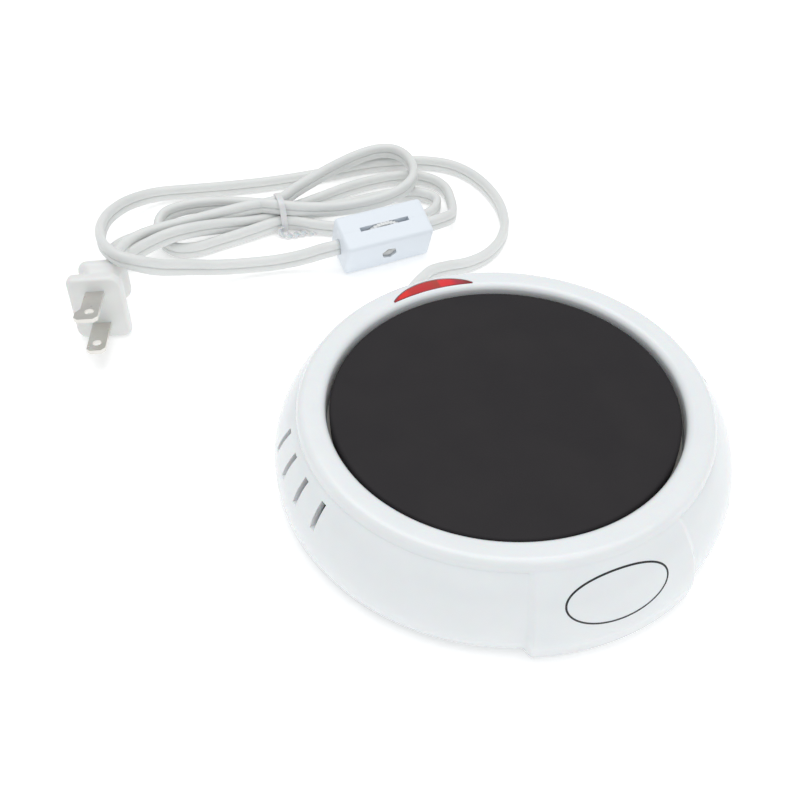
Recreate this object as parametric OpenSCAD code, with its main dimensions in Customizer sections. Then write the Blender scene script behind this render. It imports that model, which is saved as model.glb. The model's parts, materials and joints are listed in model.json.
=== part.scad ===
// Electric warming plate for a jar candle or a mug: a round plastic housing that
// holds a heated black plate, an indicator lamp, a mains cord with an inline
// thumb-wheel switch, a tied bundle of spare cord and a two-blade plug.
// Origin: centre of the housing on the surface that it stands on. +Z is up,
// -Y is the front, where the apron is. Sizes are in millimetres.

/* [Housing] */
// Widest diameter of the round housing
body_d = 136.4; // [134:0.2:139]
// Height of the rim above the surface that the feet stand on
body_h = 29.6; // [29:0.1:31]
// Wall thickness of the plastic shells
wall = 2.4; // [2:0.1:2.6]
// Reach of the front apron and the rear cord boss from the centre
pad_reach = 70; // [69.6:0.1:71]
// Half of the angle that the front apron covers
apron_half = 22; // [16:1:26]
// Number of vent slots on each side
vent_count = 4; // [2:1:5]
// Angle from one vent slot to the next
vent_pitch = 9; // [8:0.1:10]
// Angle from the sides back to the middle of each row of slots
vent_shift = 1; // [0:0.5:8]
// Width of a vent slot
vent_w = 2; // [1.4:0.1:2.6]

/* [Hot plate] */
// Diameter of the heated plate
plate_d = 102; // [100:0.5:102.5]
// Depth of the plate's face below the rim
plate_drop = 2.4; // [1.8:0.1:3]
// Sheet thickness of the plate
plate_t = 1.2; // [0.8:0.1:1.4]

/* [Cord and switch] */
// Width of the flat two-core cord
cord_w = 6.4; // [6:0.1:6.6]
// Thickness of the flat two-core cord
cord_t = 3.4; // [3:0.1:3.5]
// Length of the inline switch
switch_l = 35; // [34:0.5:36]
// Width and height of the inline switch
switch_w = 16; // [15.5:0.1:16.2]
// Diameter of the thumb wheel
wheel_d = 17.2; // [16.8:0.1:17.4]
// Number of grip teeth on the thumb wheel
wheel_teeth = 36; // [24:1:40]

/* [Plug] */
// Distance between the two blades
blade_gap = 12.7; // [12.6:0.1:12.8]
// Length of the blades outside the plug
blade_l = 17; // [15.5:0.1:17.5]
// Width of the narrow blade
blade_w = 6.3; // [6.1:0.1:6.4]
// Width of the flared tip of the wide blade
blade_wide_w = 7.9; // [7.5:0.1:8]

/* [Hidden] */
$fn = 72;
slack = 0.05;       // gap left between touching pieces
over = 1;           // how far a cutter runs past what it cuts

// Housing levels and radii
base_z = 1.4;                       // underside of the housing
base_t = 2.2;                       // thickness of the base cover
base_top = base_z + base_t;
bulge_z = 9;                        // height of the widest point
body_r = body_d / 2;
foot_r = body_r - 1.9;              // outer radius at the underside
shoulder_r = body_r - 7.6;          // where the wall meets the rim
shoulder_z = body_h - 3.1;
rim_r = shoulder_r - 2.8;           // outer edge of the flat rim
plate_r = plate_d / 2;
throat_r = plate_r + 1;             // inside of the rim
throat_wall = 2.2;
shelf_r = 47.5;                     // inside of the shelf that carries the plate
shelf_z = 18.4;
shelf_t = 2;
shelf_top = shelf_z + shelf_t;
roof_z = body_h - wall;             // underside of the rim

// Plate stack, from the top down
plate_z = body_h - plate_drop;      // heated face
plate_skirt_z = shelf_top + 1.8;    // lower edge of the plate's skirt
stack_r = 44;
stack_z = plate_z - plate_t;        // underside of the plate
mica_t = 0.6;
ribbon_t = 0.5;
pad_t = stack_z - 2 * mica_t - ribbon_t - 20.8;
shield_z = 20;
shield_t = 0.8;
stud_r = 2;
stud_hole_r = 2.4;

// Lamp and lens
lens_tip_x = 13.9;
lens_in_r = 54;
lens_turn = -1.5;
lens_mid_r = 58.3;
lens_tip_y = sqrt(lens_in_r * lens_in_r - lens_tip_x * lens_tip_x);
lens_arc_y = (lens_mid_r * lens_mid_r - lens_in_r * lens_in_r)
    / (2 * (lens_mid_r - lens_tip_y));
lens_arc_r = lens_mid_r - lens_arc_y;
lens_z = roof_z - 1;
lamp_r = 2.8;
lamp_l = 13;
lamp_pos = [0, 57.4, 21.5];

// Screws and feet
boss_angles = [50, 130, 230, 310];
boss_ring_r = 56.6;
boss_r = 3.4;
foot_angles = [45, 135, 225, 315];
foot_ring_r = 46;
foot_pad_r = 5;
screw_r = 1.4;

// Cord outlet: the gland leaves the rear wall on a slant
exit_pos = [-2, 67.5, 9];
exit_turn = -30;                    // turn of the gland away from straight back
gland_r = 5;
gland_tip_r = 3.9;
gland_tip = 9;                      // from the wall to the gland's tip
gland_root = -9.5;                  // inner end of the gland
tail_end = -33.5;                   // inner end of the outer sheath
clamp_at = -22;                     // where the clamp crosses the cord

// Inline switch: it leans on its lower front edge
switch_pos = [-9.5, 109, 0];
switch_tilt = 21.5;
switch_c = switch_w / 2;
switch_mid = switch_l / 2;
switch_skin = 1.7;
wheel_t = 1.2;
axle_r = 2.2;
axle_gap = 0.05;
slot_l = 19.6;

// Plug: it stands on one narrow side
plug_pos = [-100, 109, 0.85];
plug_turn = -17.5;
plug_pitch = -5.75;                  // the blades point slightly up
plug_w = 18.6;
plug_h = 24.2;
plug_face_l = 6;
plug_neck_l = 10;
plug_flange_l = 3.5;
plug_l = plug_face_l + plug_neck_l + plug_flange_l;
plug_mid_z = plug_h / 2;
blade_t = 1.5;
blade_root = 5;
blade_hole_r = 1.6;

// Routes of the cord, as the points that its middle passes through
route_to_switch = [[8.2, 81.6, 8.8], [12.6, 84.9, 8.4], [17, 88.3, 7.4], [25, 91.5, 5],
    [33.2, 92.2, 3.6], [42, 94, 3.3], [50.5, 99, 3.3], [58.3, 108, 3.3], [63.6, 121, 3.3],
    [65.3, 135, 3.3], [63.6, 149, 3.3], [58.5, 159.4, 3.3], [49.5, 166.5, 3.3],
    [38, 171, 3.3], [25, 173.8, 3.3], [11, 174.8, 3.3], [-3, 175.8, 3.3],
    [-18, 177.8, 3.3], [-33, 181, 3.3], [-48, 184.4, 3.6], [-63.2, 186.1, 4.8],
    [-74.8, 180.9, 7.3], [-84, 169.6, 11], [-89.5, 154.8, 15.6], [-91.8, 140.2, 20],
    [-91.5, 128, 23.2], [-88, 120.2, 23.2], [-81.6, 118, 20.5], [-75, 119.8, 16],
    [-64.6, 122.7, 11], [-53.9, 123.3, 7.4], [-43, 122.8, 5.4], [-32, 120.8, 5],
    [-22, 117.6, 6.8], [-16.5, 115.2, 9]];
route_to_hank = [[32, 114.5, 9.8], [39, 118.5, 7.5], [44, 125, 5.2], [46, 132, 4.2]];
hank_joint = [44.6, 137, 4];
route_top_loop = [[-12, 154.5, 9.6], [-2, 161, 9.9], [9, 167.4, 10.2], [20, 171.8, 10.3],
    [31, 172.6, 10.2], [37.8, 168, 10.2], [39.6, 160, 10.3], [38, 152.5, 10.3],
    [33, 147, 10.2]];
route_to_plug = [[-88.5, 140.5, 10.3], [-84.5, 145.5, 10.2]];
hank_entry = [-81, 148.8, 9.8];

// Tied bundle of spare cord
hank_z = 0.9;
hank_h = 12.4;
hank_left = [[-72, 151], [-56, 158], 12];
hank_waist = [[-60, 152.4], [12, 148], 5.6];
hank_right = [[8, 146], [32, 139.5], 13.5];
tie_pos = [-21, 150, 0];
tie_turn = -3.5;
tie_t = 0.8;

// Points on an elliptical arc: centre c, radii r, from angle a to b in n steps
function arc(c, r, a, b, n) =
    [for (i = [0:n]) let (t = a + (b - a) * i / n) [c[0] + r[0] * cos(t), c[1] + r[1] * sin(t)]];

// Outer side of the wall, from the underside to the flat rim, drawn in by inset
low_span = 49.5;
high_span = 44.4;
function wall_side(inset) =
    let (
        low_z = (bulge_z - base_z) / sin(low_span),
        low_x = (body_r - foot_r) / (1 - cos(low_span)),
        high_z = (shoulder_z - bulge_z) / sin(high_span),
        high_x = (body_r - shoulder_r) / (1 - cos(high_span)),
        r = body_r - inset
    )
    concat(arc([r - low_x, bulge_z], [low_x, low_z], -low_span, -0.1, 5),
        arc([r - high_x, bulge_z], [high_x, high_z], 4, high_span, 8));

// Rounded shoulder and the flat rim
shoulder = arc([rim_r, shoulder_z], [shoulder_r - rim_r, body_h - shoulder_z], 12, 88, 6);
rim_face = [[rim_r - 2.6, body_h - 0.1], [throat_r + 0.9, body_h - 0.5],
    [throat_r + 0.25, body_h - 0.9], [throat_r, body_h - 1.5]];

// Half section of the housing, solid from the wall in to the centre line
module housing_form() {
    polygon(concat(wall_side(0), shoulder, rim_face, [[throat_r, base_z]]));
}

// Half section of the housing shell
module housing_section() {
    polygon(concat(wall_side(0), shoulder, rim_face,
        [[throat_r, shelf_top], [shelf_r, shelf_top], [shelf_r, shelf_z],
            [throat_r + throat_wall, shelf_z], [throat_r + throat_wall, roof_z - 0.4],
            [rim_r - 1.2, roof_z - 0.4]],
        [for (i = [13:-1:0]) wall_side(wall)[i]]));
}

// Outer side of the apron: it leaves the shoulder and swings out to the underside
apron_bend_z = 7;
apron_top = [shoulder_r - 0.6, body_h - 2];
apron_side = concat([[pad_reach - 0.8, base_z]],
    [for (i = [0:8]) let (t = i / 8, s = 1 - t)
        [pad_reach * (s * s + 2 * s * t) + apron_top[0] * t * t,
         apron_bend_z * s * s + (apron_bend_z + 11.5) * 2 * s * t + apron_top[1] * t * t]]);

// Thick panel that stands proud of the front wall
module apron() {
    rotate([0, 0, -90 - apron_half])
        rotate_extrude(angle = 2 * apron_half)
            polygon(concat(apron_side, [for (i = [12:-1:0]) wall_side(wall / 2)[i]]));
}

// Puts a child at the cord outlet, with +Y along the gland
module at_exit() {
    translate(exit_pos)
        rotate([0, 0, exit_turn])
            children();
}

// Insulated round wire along a list of points
module wire(points, r) {
    sweep(points, [for (k = [0:7]) [r * cos(22.5 + 45 * k), r * sin(22.5 + 45 * k)]]);
}

module vent_cutters() {
    slot_low = 16.7;
    slot_high = 24.7;
    for (side = [1, -1])
        for (i = [0:vent_count - 1])
            rotate([0, 0, 90 - side * (90 - vent_shift - (i - (vent_count - 1) / 2) * vent_pitch)])
                translate([throat_r + throat_wall + 0.6, -vent_w / 2, slot_low])
                    cube([body_r, vent_w, slot_high - slot_low]);
}

module boss_posts() {
    for (a = boss_angles)
        rotate([0, 0, a])
            translate([boss_ring_r, 0, base_top + 2])
                cylinder(h = roof_z - base_top - 2, r = boss_r);
}

module boss_bores() {
    for (a = boss_angles)
        rotate([0, 0, a])
            translate([boss_ring_r, 0, base_z])
                cylinder(h = 17, r = screw_r + slack);
}

// Raised pad on the rear wall, around the cord outlet
module cord_boss() {
    rotate([0, 0, 90 - 9])
        rotate_extrude(angle = 18)
            translate([body_r - 2.2, base_z])
                square([pad_reach - body_r + 2.2, 14.4]);
}

module lens_outline(grow) {
    rotate([0, 0, lens_turn])
        difference() {
            translate([0, lens_arc_y])
                circle(r = lens_arc_r + grow);
            circle(r = lens_in_r - grow);
        }
}

// Round plastic shell with rim, plate shelf, apron, vents and screw posts
module upper_housing() {
    color("whitesmoke")
        difference() {
            union() {
                rotate_extrude(convexity = 6)
                    housing_section();
                boss_posts();
                apron();
                cord_boss();
            }
            boss_bores();
            vent_cutters();
            translate([0, 0, lens_z - 1])
                linear_extrude(height = 8)
                    lens_outline(0.12);
            at_exit()
                rotate([90, 0, 0])
                    cylinder(h = 30, r = gland_r + 0.1, center = true);
        }
}

// Round cover that closes the housing from below
base_edge_r = foot_r - wall - 0.6;
module base_cover() {
    color("gainsboro")
        difference() {
            union() {
                translate([0, 0, base_z])
                    cylinder(h = base_t, r = base_edge_r);
                for (a = boss_angles)
                    rotate([0, 0, a])
                        translate([boss_ring_r, 0, base_z])
                            cylinder(h = base_t + 2 - slack, r = boss_r + 0.8);
                for (a = foot_angles)
                    rotate([0, 0, a])
                        translate([foot_ring_r, 0, base_z])
                            cylinder(h = base_t + 1.6, r = foot_pad_r + 1.6);
                cord_posts();
            }
            for (a = foot_angles)
                rotate([0, 0, a])
                    translate([foot_ring_r, 0, base_z - over])
                        cylinder(h = 2 + over, r = foot_pad_r + slack);
            for (a = boss_angles)
                rotate([0, 0, a])
                    translate([boss_ring_r, 0, base_z - over]) {
                        cylinder(h = 2 + over, r = 2.9);
                        cylinder(h = 8, r = screw_r + 0.2);
                    }
            base_slots();
            at_exit()
                for (side = [-1, 1])
                    translate([side * 7, clamp_at, -5])
                        cylinder(h = 12, r = 1.1 + slack);
        }
}

// Rows of air slots in the middle of the base
module base_slots() {
    for (x = [-2:2])
        for (side = [-1, 1])
            translate([x * 9 - 1.25, side * 17 - 7, base_z - over])
                cube([2.5, 14, base_t + 2 * over]);
}

// Two posts and a rib of the base that carry the cord clamp
module cord_posts() {
    post_h = exit_pos[2] + cord_w / 2 - base_top;
    at_exit() {
        for (side = [-1, 1])
            translate([side * 7, clamp_at, base_top - exit_pos[2] - 0.1])
                cylinder(h = post_h + 0.1, r = 3);
        translate([-3, clamp_at - 4, base_top - exit_pos[2] - 0.1])
            cube([6, 8, post_h - cord_w + 0.1 - slack]);
    }
}

// Black sheet-metal plate with a skirt
module hot_plate() {
    edge = 1.2;
    color("dimgray")
        rotate_extrude()
            polygon(concat([[0, stack_z], [0, plate_z], [plate_r - edge, plate_z]],
                arc([plate_r - edge, plate_z - edge], [edge, edge], 75, 0, 4),
                [[plate_r, plate_skirt_z], [plate_r - plate_t, plate_skirt_z],
                    [plate_r - plate_t, stack_z]]));
}

// Heat-resistant ring between the plate's skirt and the shelf
module plate_seal() {
    color("silver")
        translate([0, 0, shelf_top])
            difference() {
                cylinder(h = plate_skirt_z - shelf_top - slack, r = throat_r - 0.3);
                translate([0, 0, -over])
                    cylinder(h = 4, r = shelf_r + 1);
            }
}

// Red crescent window in the rim
module indicator_lens() {
    color("red")
        intersection() {
            translate([0, 0, lens_z])
                linear_extrude(height = 8)
                    lens_outline(0);
            translate([0, 0, 0.15])
                rotate_extrude()
                    housing_form();
        }
}

module along_lamp() {
    translate(lamp_pos)
        rotate([0, 90, 0])
            children();
}

// Glass envelope of the neon lamp
module neon_glass() {
    color("mistyrose")
        along_lamp()
            difference() {
                cylinder(h = lamp_l, r = lamp_r, center = true);
                cylinder(h = lamp_l - 1.6, r = lamp_r - 0.6, center = true);
            }
}

// Pair of electrodes inside the neon lamp
module neon_electrodes() {
    color("silver")
        along_lamp()
            for (side = [-1, 1])
                translate([side * 0.9, 0, 1])
                    cylinder(h = lamp_l - 4, r = 0.4, center = true);
}

// Plastic saddle that holds the neon lamp under the lens
module lamp_holder() {
    color("white")
        difference() {
            translate([-4, throat_r + throat_wall, lamp_pos[2] - lamp_r - 2])
                cube([8, 6, lamp_r + 2]);
            along_lamp()
                cylinder(h = 20, r = lamp_r + 0.1, center = true);
        }
}

resistor_pos = [30, 30, base_top + 3.4];
module lamp_resistor() {
    color("tan")
        translate(resistor_pos)
            rotate([90, 0, 0]) {
                cylinder(h = 6.4, r = 1.15, center = true);
                for (side = [-1, 1])
                    translate([0, 0, side * 2.5])
                        cylinder(h = 1.6, r = 1.35, center = true);
            }
}

// Two thin wires of the lamp: one runs through the resistor
thin_r = 0.7;
module lamp_leads() {
    lamp_end = lamp_pos[0] + lamp_l / 2 + slack;
    color("firebrick") {
        wire([[lamp_end, 56.5, 21.5], [11, 56.2, 21], [18, 46, 9], [16, 26, 8.5],
            [8, 14, 8.5], [-14, 5, 8.2], [-20, 5, 7.8], [-22.2, 7.4, 7.3], [-22.2, 9.9, 7.3]], thin_r);
        wire([[lamp_end, 58.8, 21.5], [13, 58.8, 21], [26, 46, 9], [30, 34, 7],
            resistor_pos + [0, 3.3, 0]], thin_r);
        wire([resistor_pos - [0, 3.3, 0], [30, 22, 7], [24, 4, 5.6], [-30, 2, 5.6],
            [-33.8, 5.4, 7], [-33.8, 7.9, 7.3]], thin_r);
    }
}

module stack_disc(z, h, r) {
    translate([0, 0, z])
        difference() {
            cylinder(h = h, r = r);
            translate([0, 0, -over])
                cylinder(h = h + 2 * over, r = stud_hole_r);
            terminal_holes(h);
        }
}

terminal_x = 10;
terminal_y = -30;
terminal_w = 3;
terminal_t = 0.6;
module terminal_holes(h) {
    for (side = [-1, 1])
        translate([side * terminal_x, terminal_y, -over])
            cylinder(h = h + 2 * over, r = 2.2);
}

// Mica sheet between the plate and the heating ribbon
module mica_top() {
    color("khaki")
        translate([0, 0, stack_z - mica_t])
            difference() {
                cylinder(h = mica_t - 0.02, r = stack_r);
                translate([0, 0, -over])
                    cylinder(h = mica_t + 2 * over, r = stud_hole_r);
            }
}

// Mica sheet below the heating ribbon
module mica_bottom() {
    color("khaki")
        stack_disc(stack_z - 2 * mica_t - ribbon_t, mica_t - 0.02, stack_r);
}

// Flat resistance ribbon: open rings joined in a row
module heater_ribbon() {
    rings = [12, 19, 26, 33, 40];
    ribbon_w = 2.4;
    gap = 14;
    color("gray")
        translate([0, 0, stack_z - mica_t - ribbon_t])
            linear_extrude(height = ribbon_t - 0.04)
                union() {
                    for (r = rings)
                        difference() {
                            circle(r = r + ribbon_w / 2);
                            circle(r = r - ribbon_w / 2);
                            polygon([[0, 0], [60 * sin(-gap), -60 * cos(gap)],
                                [60 * sin(gap), -60 * cos(gap)]]);
                        }
                    for (i = [0:3])
                        rotate([0, 0, i % 2 == 0 ? gap + 1.5 : -gap - 1.5])
                            translate([-1.2, -rings[i + 1]])
                                square([2.4, rings[i + 1] - rings[i]]);
                    for (side = [-1, 1])
                        translate([side * terminal_x - 1.5, terminal_y - 10.4])
                            square([3, 12.4]);
                }
}

// Two flat terminals that lead down from the ribbon
module heater_terminals() {
    top = stack_z - mica_t - ribbon_t - slack;
    color("silver")
        for (side = [-1, 1])
            translate([side * terminal_x - terminal_w / 2, terminal_y - terminal_t / 2, 14])
                cube([terminal_w, terminal_t, top - 14]);
}

// Ceramic beads that keep the terminals off the metal shield
module terminal_beads() {
    color("ivory")
        for (side = [-1, 1])
            translate([side * terminal_x, terminal_y, shield_z - 2.4])
                difference() {
                    cylinder(h = 5, r = 2.15);
                    translate([-terminal_w / 2 - slack, -terminal_t / 2 - slack, -over])
                        cube([terminal_w + 2 * slack, terminal_t + 2 * slack, 7]);
                }
}

// Soft mineral-fibre disc under the heater
module insulation_pad() {
    color("ghostwhite")
        stack_disc(shield_z + shield_t, pad_t - 0.02, stack_r);
}

// Metal dish that closes the heater stack from below
module heat_shield() {
    color("lightsteelblue")
        union() {
            stack_disc(shield_z, shield_t - 0.02, stack_r + 1);
            translate([0, 0, shield_z])
                difference() {
                    cylinder(h = 3.4, r = stack_r + 1.6);
                    translate([0, 0, -over])
                        cylinder(h = 6, r = stack_r + 0.8);
                }
        }
}

bar_t = 2;
bar_z = shelf_z - bar_t;
// Steel strip across the shelf that pulls the plate down
module clamp_bar() {
    color("silver")
        translate([0, 0, bar_z])
            difference() {
                intersection() {
                    translate([-51, -6, 0])
                        cube([102, 12, bar_t - slack]);
                    cylinder(h = bar_t, r = 51);
                }
                translate([0, 0, -over])
                    cylinder(h = bar_t + 2 * over, r = stud_hole_r);
            }
}

// Stud welded to the underside of the plate
module clamp_stud() {
    color("silver")
        translate([0, 0, 9])
            cylinder(h = stack_z - 9 - 0.02, r = stud_r);
}

// Collar between the shield and the bar
module clamp_spacer() {
    color("silver")
        translate([0, 0, shelf_z])
            difference() {
                cylinder(h = shield_z - shelf_z - slack, r = 5);
                translate([0, 0, -over])
                    cylinder(h = 5, r = stud_hole_r);
            }
}

washer_t = 1;
module clamp_washer() {
    color("silver")
        translate([0, 0, bar_z - washer_t])
            difference() {
                cylinder(h = washer_t - slack, r = 4.5);
                translate([0, 0, -over])
                    cylinder(h = washer_t + 2 * over, r = stud_hole_r - 0.2);
            }
}

nut_t = 3.2;
module clamp_nut() {
    color("silver")
        translate([0, 0, bar_z - washer_t - nut_t - slack])
            difference() {
                cylinder(h = nut_t, r = 4.04, $fn = 6);
                translate([0, 0, -over])
                    cylinder(h = nut_t + 2 * over, r = stud_r + 0.02);
            }
}

fuse_pos = [-24, -14, 17.7];
fuse_r = 2;
fuse_l = 10;
// Thermal fuse that lies against the shield
module thermal_fuse() {
    color("gold")
        translate(fuse_pos)
            rotate([0, 90, 0]) {
                cylinder(h = fuse_l, r = fuse_r, center = true);
                translate([0, 0, fuse_l / 2])
                    cylinder(h = 1.4, r1 = 1.4, r2 = 0.9);
            }
}

// Bent strip that presses the fuse against the shield
module fuse_saddle() {
    strip_t = 0.5;
    flat_y = shield_z - fuse_pos[2] - strip_t - slack;
    color("silver")
        translate(fuse_pos)
            rotate([90, 0, 90])
                linear_extrude(height = 5, center = true)
                    difference() {
                        union() {
                            circle(r = fuse_r + strip_t + slack);
                            translate([-fuse_r - strip_t - slack, 0])
                                square([2 * (fuse_r + strip_t + slack), flat_y + strip_t]);
                            translate([-5.5, flat_y])
                                square([11, strip_t]);
                        }
                        circle(r = fuse_r + slack);
                        translate([-fuse_r - slack, 0])
                            square([2 * (fuse_r + slack), 4]);
                    }
}

lead_r = 1.2;
// Sleeved leads on each side of the fuse
module fuse_leads() {
    x0 = fuse_pos[0] - fuse_l / 2 - slack;
    x1 = fuse_pos[0] + fuse_l / 2 + 1.4 + slack;
    color("white") {
        wire([[x0, fuse_pos[1], fuse_pos[2]], [x0 - 2, fuse_pos[1], fuse_pos[2]],
            [-35, -12, 15], [-38, -7, 10], [-37.6, 3, 7.3], [-37.6, 7.9, 7.3]], lead_r);
        wire([[x1, fuse_pos[1], fuse_pos[2]], [x1 + 2, fuse_pos[1], fuse_pos[2]],
            [-12, -20, 15.5], [-10, -26.5, 13], [-10, -29.2, 12.6]], lead_r);
    }
}

sleeve_r = 3.5;
sleeve_l = 14;
sleeve_x = [-36, -24];
sleeve_y = [8, 10];
// Crimped sleeves that join the cord's two cores to the inner leads
module splice_sleeves() {
    color("lightyellow")
        for (i = [0, 1])
            translate([sleeve_x[i], sleeve_y[i], base_top + sleeve_r + 0.2])
                rotate([-90, 0, 0])
                    cylinder(h = sleeve_l, r = sleeve_r);
}

function exit_point(t, up) = [exit_pos[0] - t * sin(exit_turn), exit_pos[1] + t * cos(exit_turn),
    exit_pos[2] + up];

// Live core, from the cord to its sleeve
module lead_live() {
    up = cord_w / 4 - 0.1;
    end_y = sleeve_y[0] + sleeve_l + 0.1;
    color("black")
        wire([exit_point(tail_end - slack, up), exit_point(tail_end - 3, up), [-30, 31, 9.5],
            [sleeve_x[0], end_y + 4, 7.3], [sleeve_x[0], end_y, 7.3]], lead_r + 0.1);
}

// Neutral core, from the cord to its sleeve, and on to the heater
module lead_neutral() {
    up = -cord_w / 4 + 0.1;
    end_y = sleeve_y[1] + sleeve_l + 0.1;
    color("white") {
        wire([exit_point(tail_end - slack, up), exit_point(tail_end - 3, up), [-23.2, 30.5, 7.4],
            [sleeve_x[1], end_y + 3, 7.3], [sleeve_x[1], end_y, 7.3]], lead_r + 0.1);
        wire([[-24.6, 9.9, 7.3], [-24.6, 7, 7.3], [-16, -12, 9], [4, -26, 10],
            [10, -28.5, 12.6]], lead_r);
    }
}

// Outer sheath of the cord inside the housing, standing on its narrow side
module cord_tail() {
    color("gainsboro")
        at_exit()
            translate([0, tail_end, 0])
                rotate([-90, 0, 0])
                    linear_extrude(height = gland_root - tail_end - slack)
                        cord_outline();
}

module cord_outline() {
    half = cord_w / 2 - cord_t / 2;
    union() {
        translate([0, half])
            circle(r = cord_t / 2);
        translate([0, -half])
            circle(r = cord_t / 2);
        translate([-cord_t / 2 + 0.3, -half])
            square([cord_t - 0.6, 2 * half]);
    }
}

// Plastic bar that presses the cord down inside the housing
module cord_clamp() {
    color("ivory")
        at_exit()
            translate([0, clamp_at, cord_w / 2 + slack])
                difference() {
                    translate([-10.5, -3.5, 0])
                        cube([21, 7, 2.6]);
                    for (side = [-1, 1])
                        translate([side * 7, 0, -over])
                            cylinder(h = 6, r = 1.3);
                }
}

module cord_clamp_screws() {
    color("silver")
        at_exit()
            for (side = [-1, 1])
                translate([side * 7, clamp_at, cord_w / 2 + 2.7]) {
                    cylinder(h = 1.6, r = 2.2);
                    translate([0, 0, -8])
                        cylinder(h = 8.1, r = 1.1);
                }
}

// Four screws that hold the base cover
module housing_screws() {
    color("silver")
        for (a = boss_angles)
            rotate([0, 0, a])
                translate([boss_ring_r, 0, base_z + 0.2]) {
                    cylinder(h = 1.8 - slack, r = 2.7);
                    cylinder(h = 11, r = screw_r);
                }
}

module rubber_feet() {
    color("dimgray")
        for (a = foot_angles)
            rotate([0, 0, a])
                translate([foot_ring_r, 0, 0])
                    cylinder(h = base_z + 2 - slack, r = foot_pad_r);
}

// Tapered rubber gland: flange inside, shank in the wall, tail outside
module strain_relief() {
    color("gainsboro")
        at_exit()
            rotate([-90, 0, 0]) {
                translate([0, 0, gland_root])
                    gland_flange();
                translate([0, 0, gland_root])
                    cylinder(h = 2.4 - gland_root, r = gland_r);
                translate([0, 0, 2.4])
                    cylinder(h = gland_tip - 2.4, r1 = gland_r, r2 = gland_tip_r);
            }
}

// Inner flange of the gland, flat below where it stands on the base cover
module gland_flange() {
    flat = exit_pos[2] - base_top - slack;
    intersection() {
        cylinder(h = 1.6, r = gland_r + 1);
        translate([-10, -10, -over])
            cube([20, 10 + flat, 4]);
    }
}

// Puts a child in the switch's own frame
module at_switch() {
    translate(switch_pos)
        rotate([switch_tilt, 0, 0])
            children();
}

// Bar with four rounded long edges, along +X
module rounded_bar(l, w, h, r) {
    rotate([90, 0, 90])
        linear_extrude(height = l)
            union() {
                translate([r, 0])
                    square([w - 2 * r, h]);
                translate([0, r])
                    square([w, h - 2 * r]);
                for (y = [r, w - r])
                    for (z = [r, h - r])
                        translate([y, z])
                            circle(r = r, $fn = 32);
            }
}

module switch_box() {
    rounded_bar(switch_l, switch_w, switch_w, 1.6);
}

module switch_cavity() {
    difference() {
        translate([switch_skin, switch_skin, switch_skin])
            cube([switch_l - 2 * switch_skin, switch_w - 2 * switch_skin,
                switch_w - 2 * switch_skin]);
        for (y = [0, switch_w - 5.2])
            translate([switch_mid, y, switch_c])
                rotate([-90, 0, 0])
                    cylinder(h = 5.2, r = 4.2);
    }
}

module wheel_slots() {
    translate([switch_mid - slot_l / 2, switch_c - wheel_t / 2 - 0.3, -over])
        cube([slot_l, wheel_t + 0.6, switch_w + 2 * over]);
}

// Half of the switch box between two depths
module switch_half(y0, y1) {
    intersection() {
        difference() {
            switch_box();
            switch_cavity();
            wheel_slots();
            translate([switch_mid, -over, switch_c])
                rotate([-90, 0, 0])
                    cylinder(h = switch_w + 2 * over, r = 1.3);
        }
        translate([-over, y0, -over])
            cube([switch_l + 2 * over, y1 - y0, switch_w + 2 * over]);
    }
}

// Front half, with a hexagonal pocket for the nut
module switch_front_half() {
    color("aliceblue")
        at_switch()
            difference() {
                switch_half(0, switch_c - 0.02);
                translate([switch_mid, -over, switch_c])
                    rotate([-90, 0, 0])
                        cylinder(h = over + 2.6, r = 3, $fn = 6);
            }
}

// Rear half, with the axle that the wheel turns on
module switch_rear_half() {
    color("aliceblue")
        at_switch()
            difference() {
                union() {
                    switch_half(switch_c, switch_w);
                    translate([switch_mid, 5.3, switch_c])
                        rotate([-90, 0, 0])
                            cylinder(h = 6, r = axle_r);
                }
                translate([switch_mid, 0, switch_c])
                    rotate([-90, 0, 0])
                        cylinder(h = switch_w + over, r = 1.3);
                translate([switch_mid, switch_w - 2, switch_c])
                    rotate([-90, 0, 0])
                        cylinder(h = 3, r = 2.6);
            }
}

// Toothed wheel that shows through the slots
module thumb_wheel() {
    tooth = 0.35;
    rim = wheel_d / 2;
    color("white")
        at_switch()
            translate([switch_mid, switch_c - wheel_t / 2, switch_c])
                rotate([-90, 0, 0])
                    difference() {
                        linear_extrude(height = wheel_t)
                            polygon([for (i = [0:4 * wheel_teeth - 1])
                                let (a = i * 90 / wheel_teeth,
                                    r = (i % 4 < 2) ? rim : rim - tooth)
                                [r * cos(a), r * sin(a)]]);
                        translate([0, 0, -over])
                            cylinder(h = wheel_t + 2 * over, r = axle_r + axle_gap);
                    }
}

// Metal cam on the wheel's front side
module wheel_contact() {
    color("goldenrod")
        at_switch()
            translate([switch_mid, switch_c - wheel_t / 2 - 0.7, switch_c])
                rotate([-90, 0, 0])
                    difference() {
                        cylinder(h = 0.7, r = 6);
                        translate([0, 0, -over])
                            cylinder(h = 4, r = axle_r + axle_gap);
                        for (side = [-1, 1])
                            translate([side * 7.4, 0, -over])
                                cylinder(h = 4, r = 3.6);
                    }
}

// Two spring blades, one on each side of the cam
module switch_contacts() {
    gap = 1.2;
    color("goldenrod")
        at_switch()
            for (side = [-1, 1])
                translate([switch_mid + side * 11.4 - 4, 3, switch_c - 2.5]) {
                    cube([8, 0.5, 5]);
                    translate([side * 3.5 + 4 - 0.25, 0, 0])
                        cube([0.5, gap + 1.6, 5]);
                }
}

// Uncut core that runs through the rear of the switch
module switch_through_lead() {
    color("white")
        at_switch()
            translate([switch_skin + slack, switch_w - 3.4, switch_skin + 1.05])
                rotate([0, 90, 0])
                    cylinder(h = switch_l - 2 * switch_skin - 2 * slack, r = 1);
}

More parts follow.
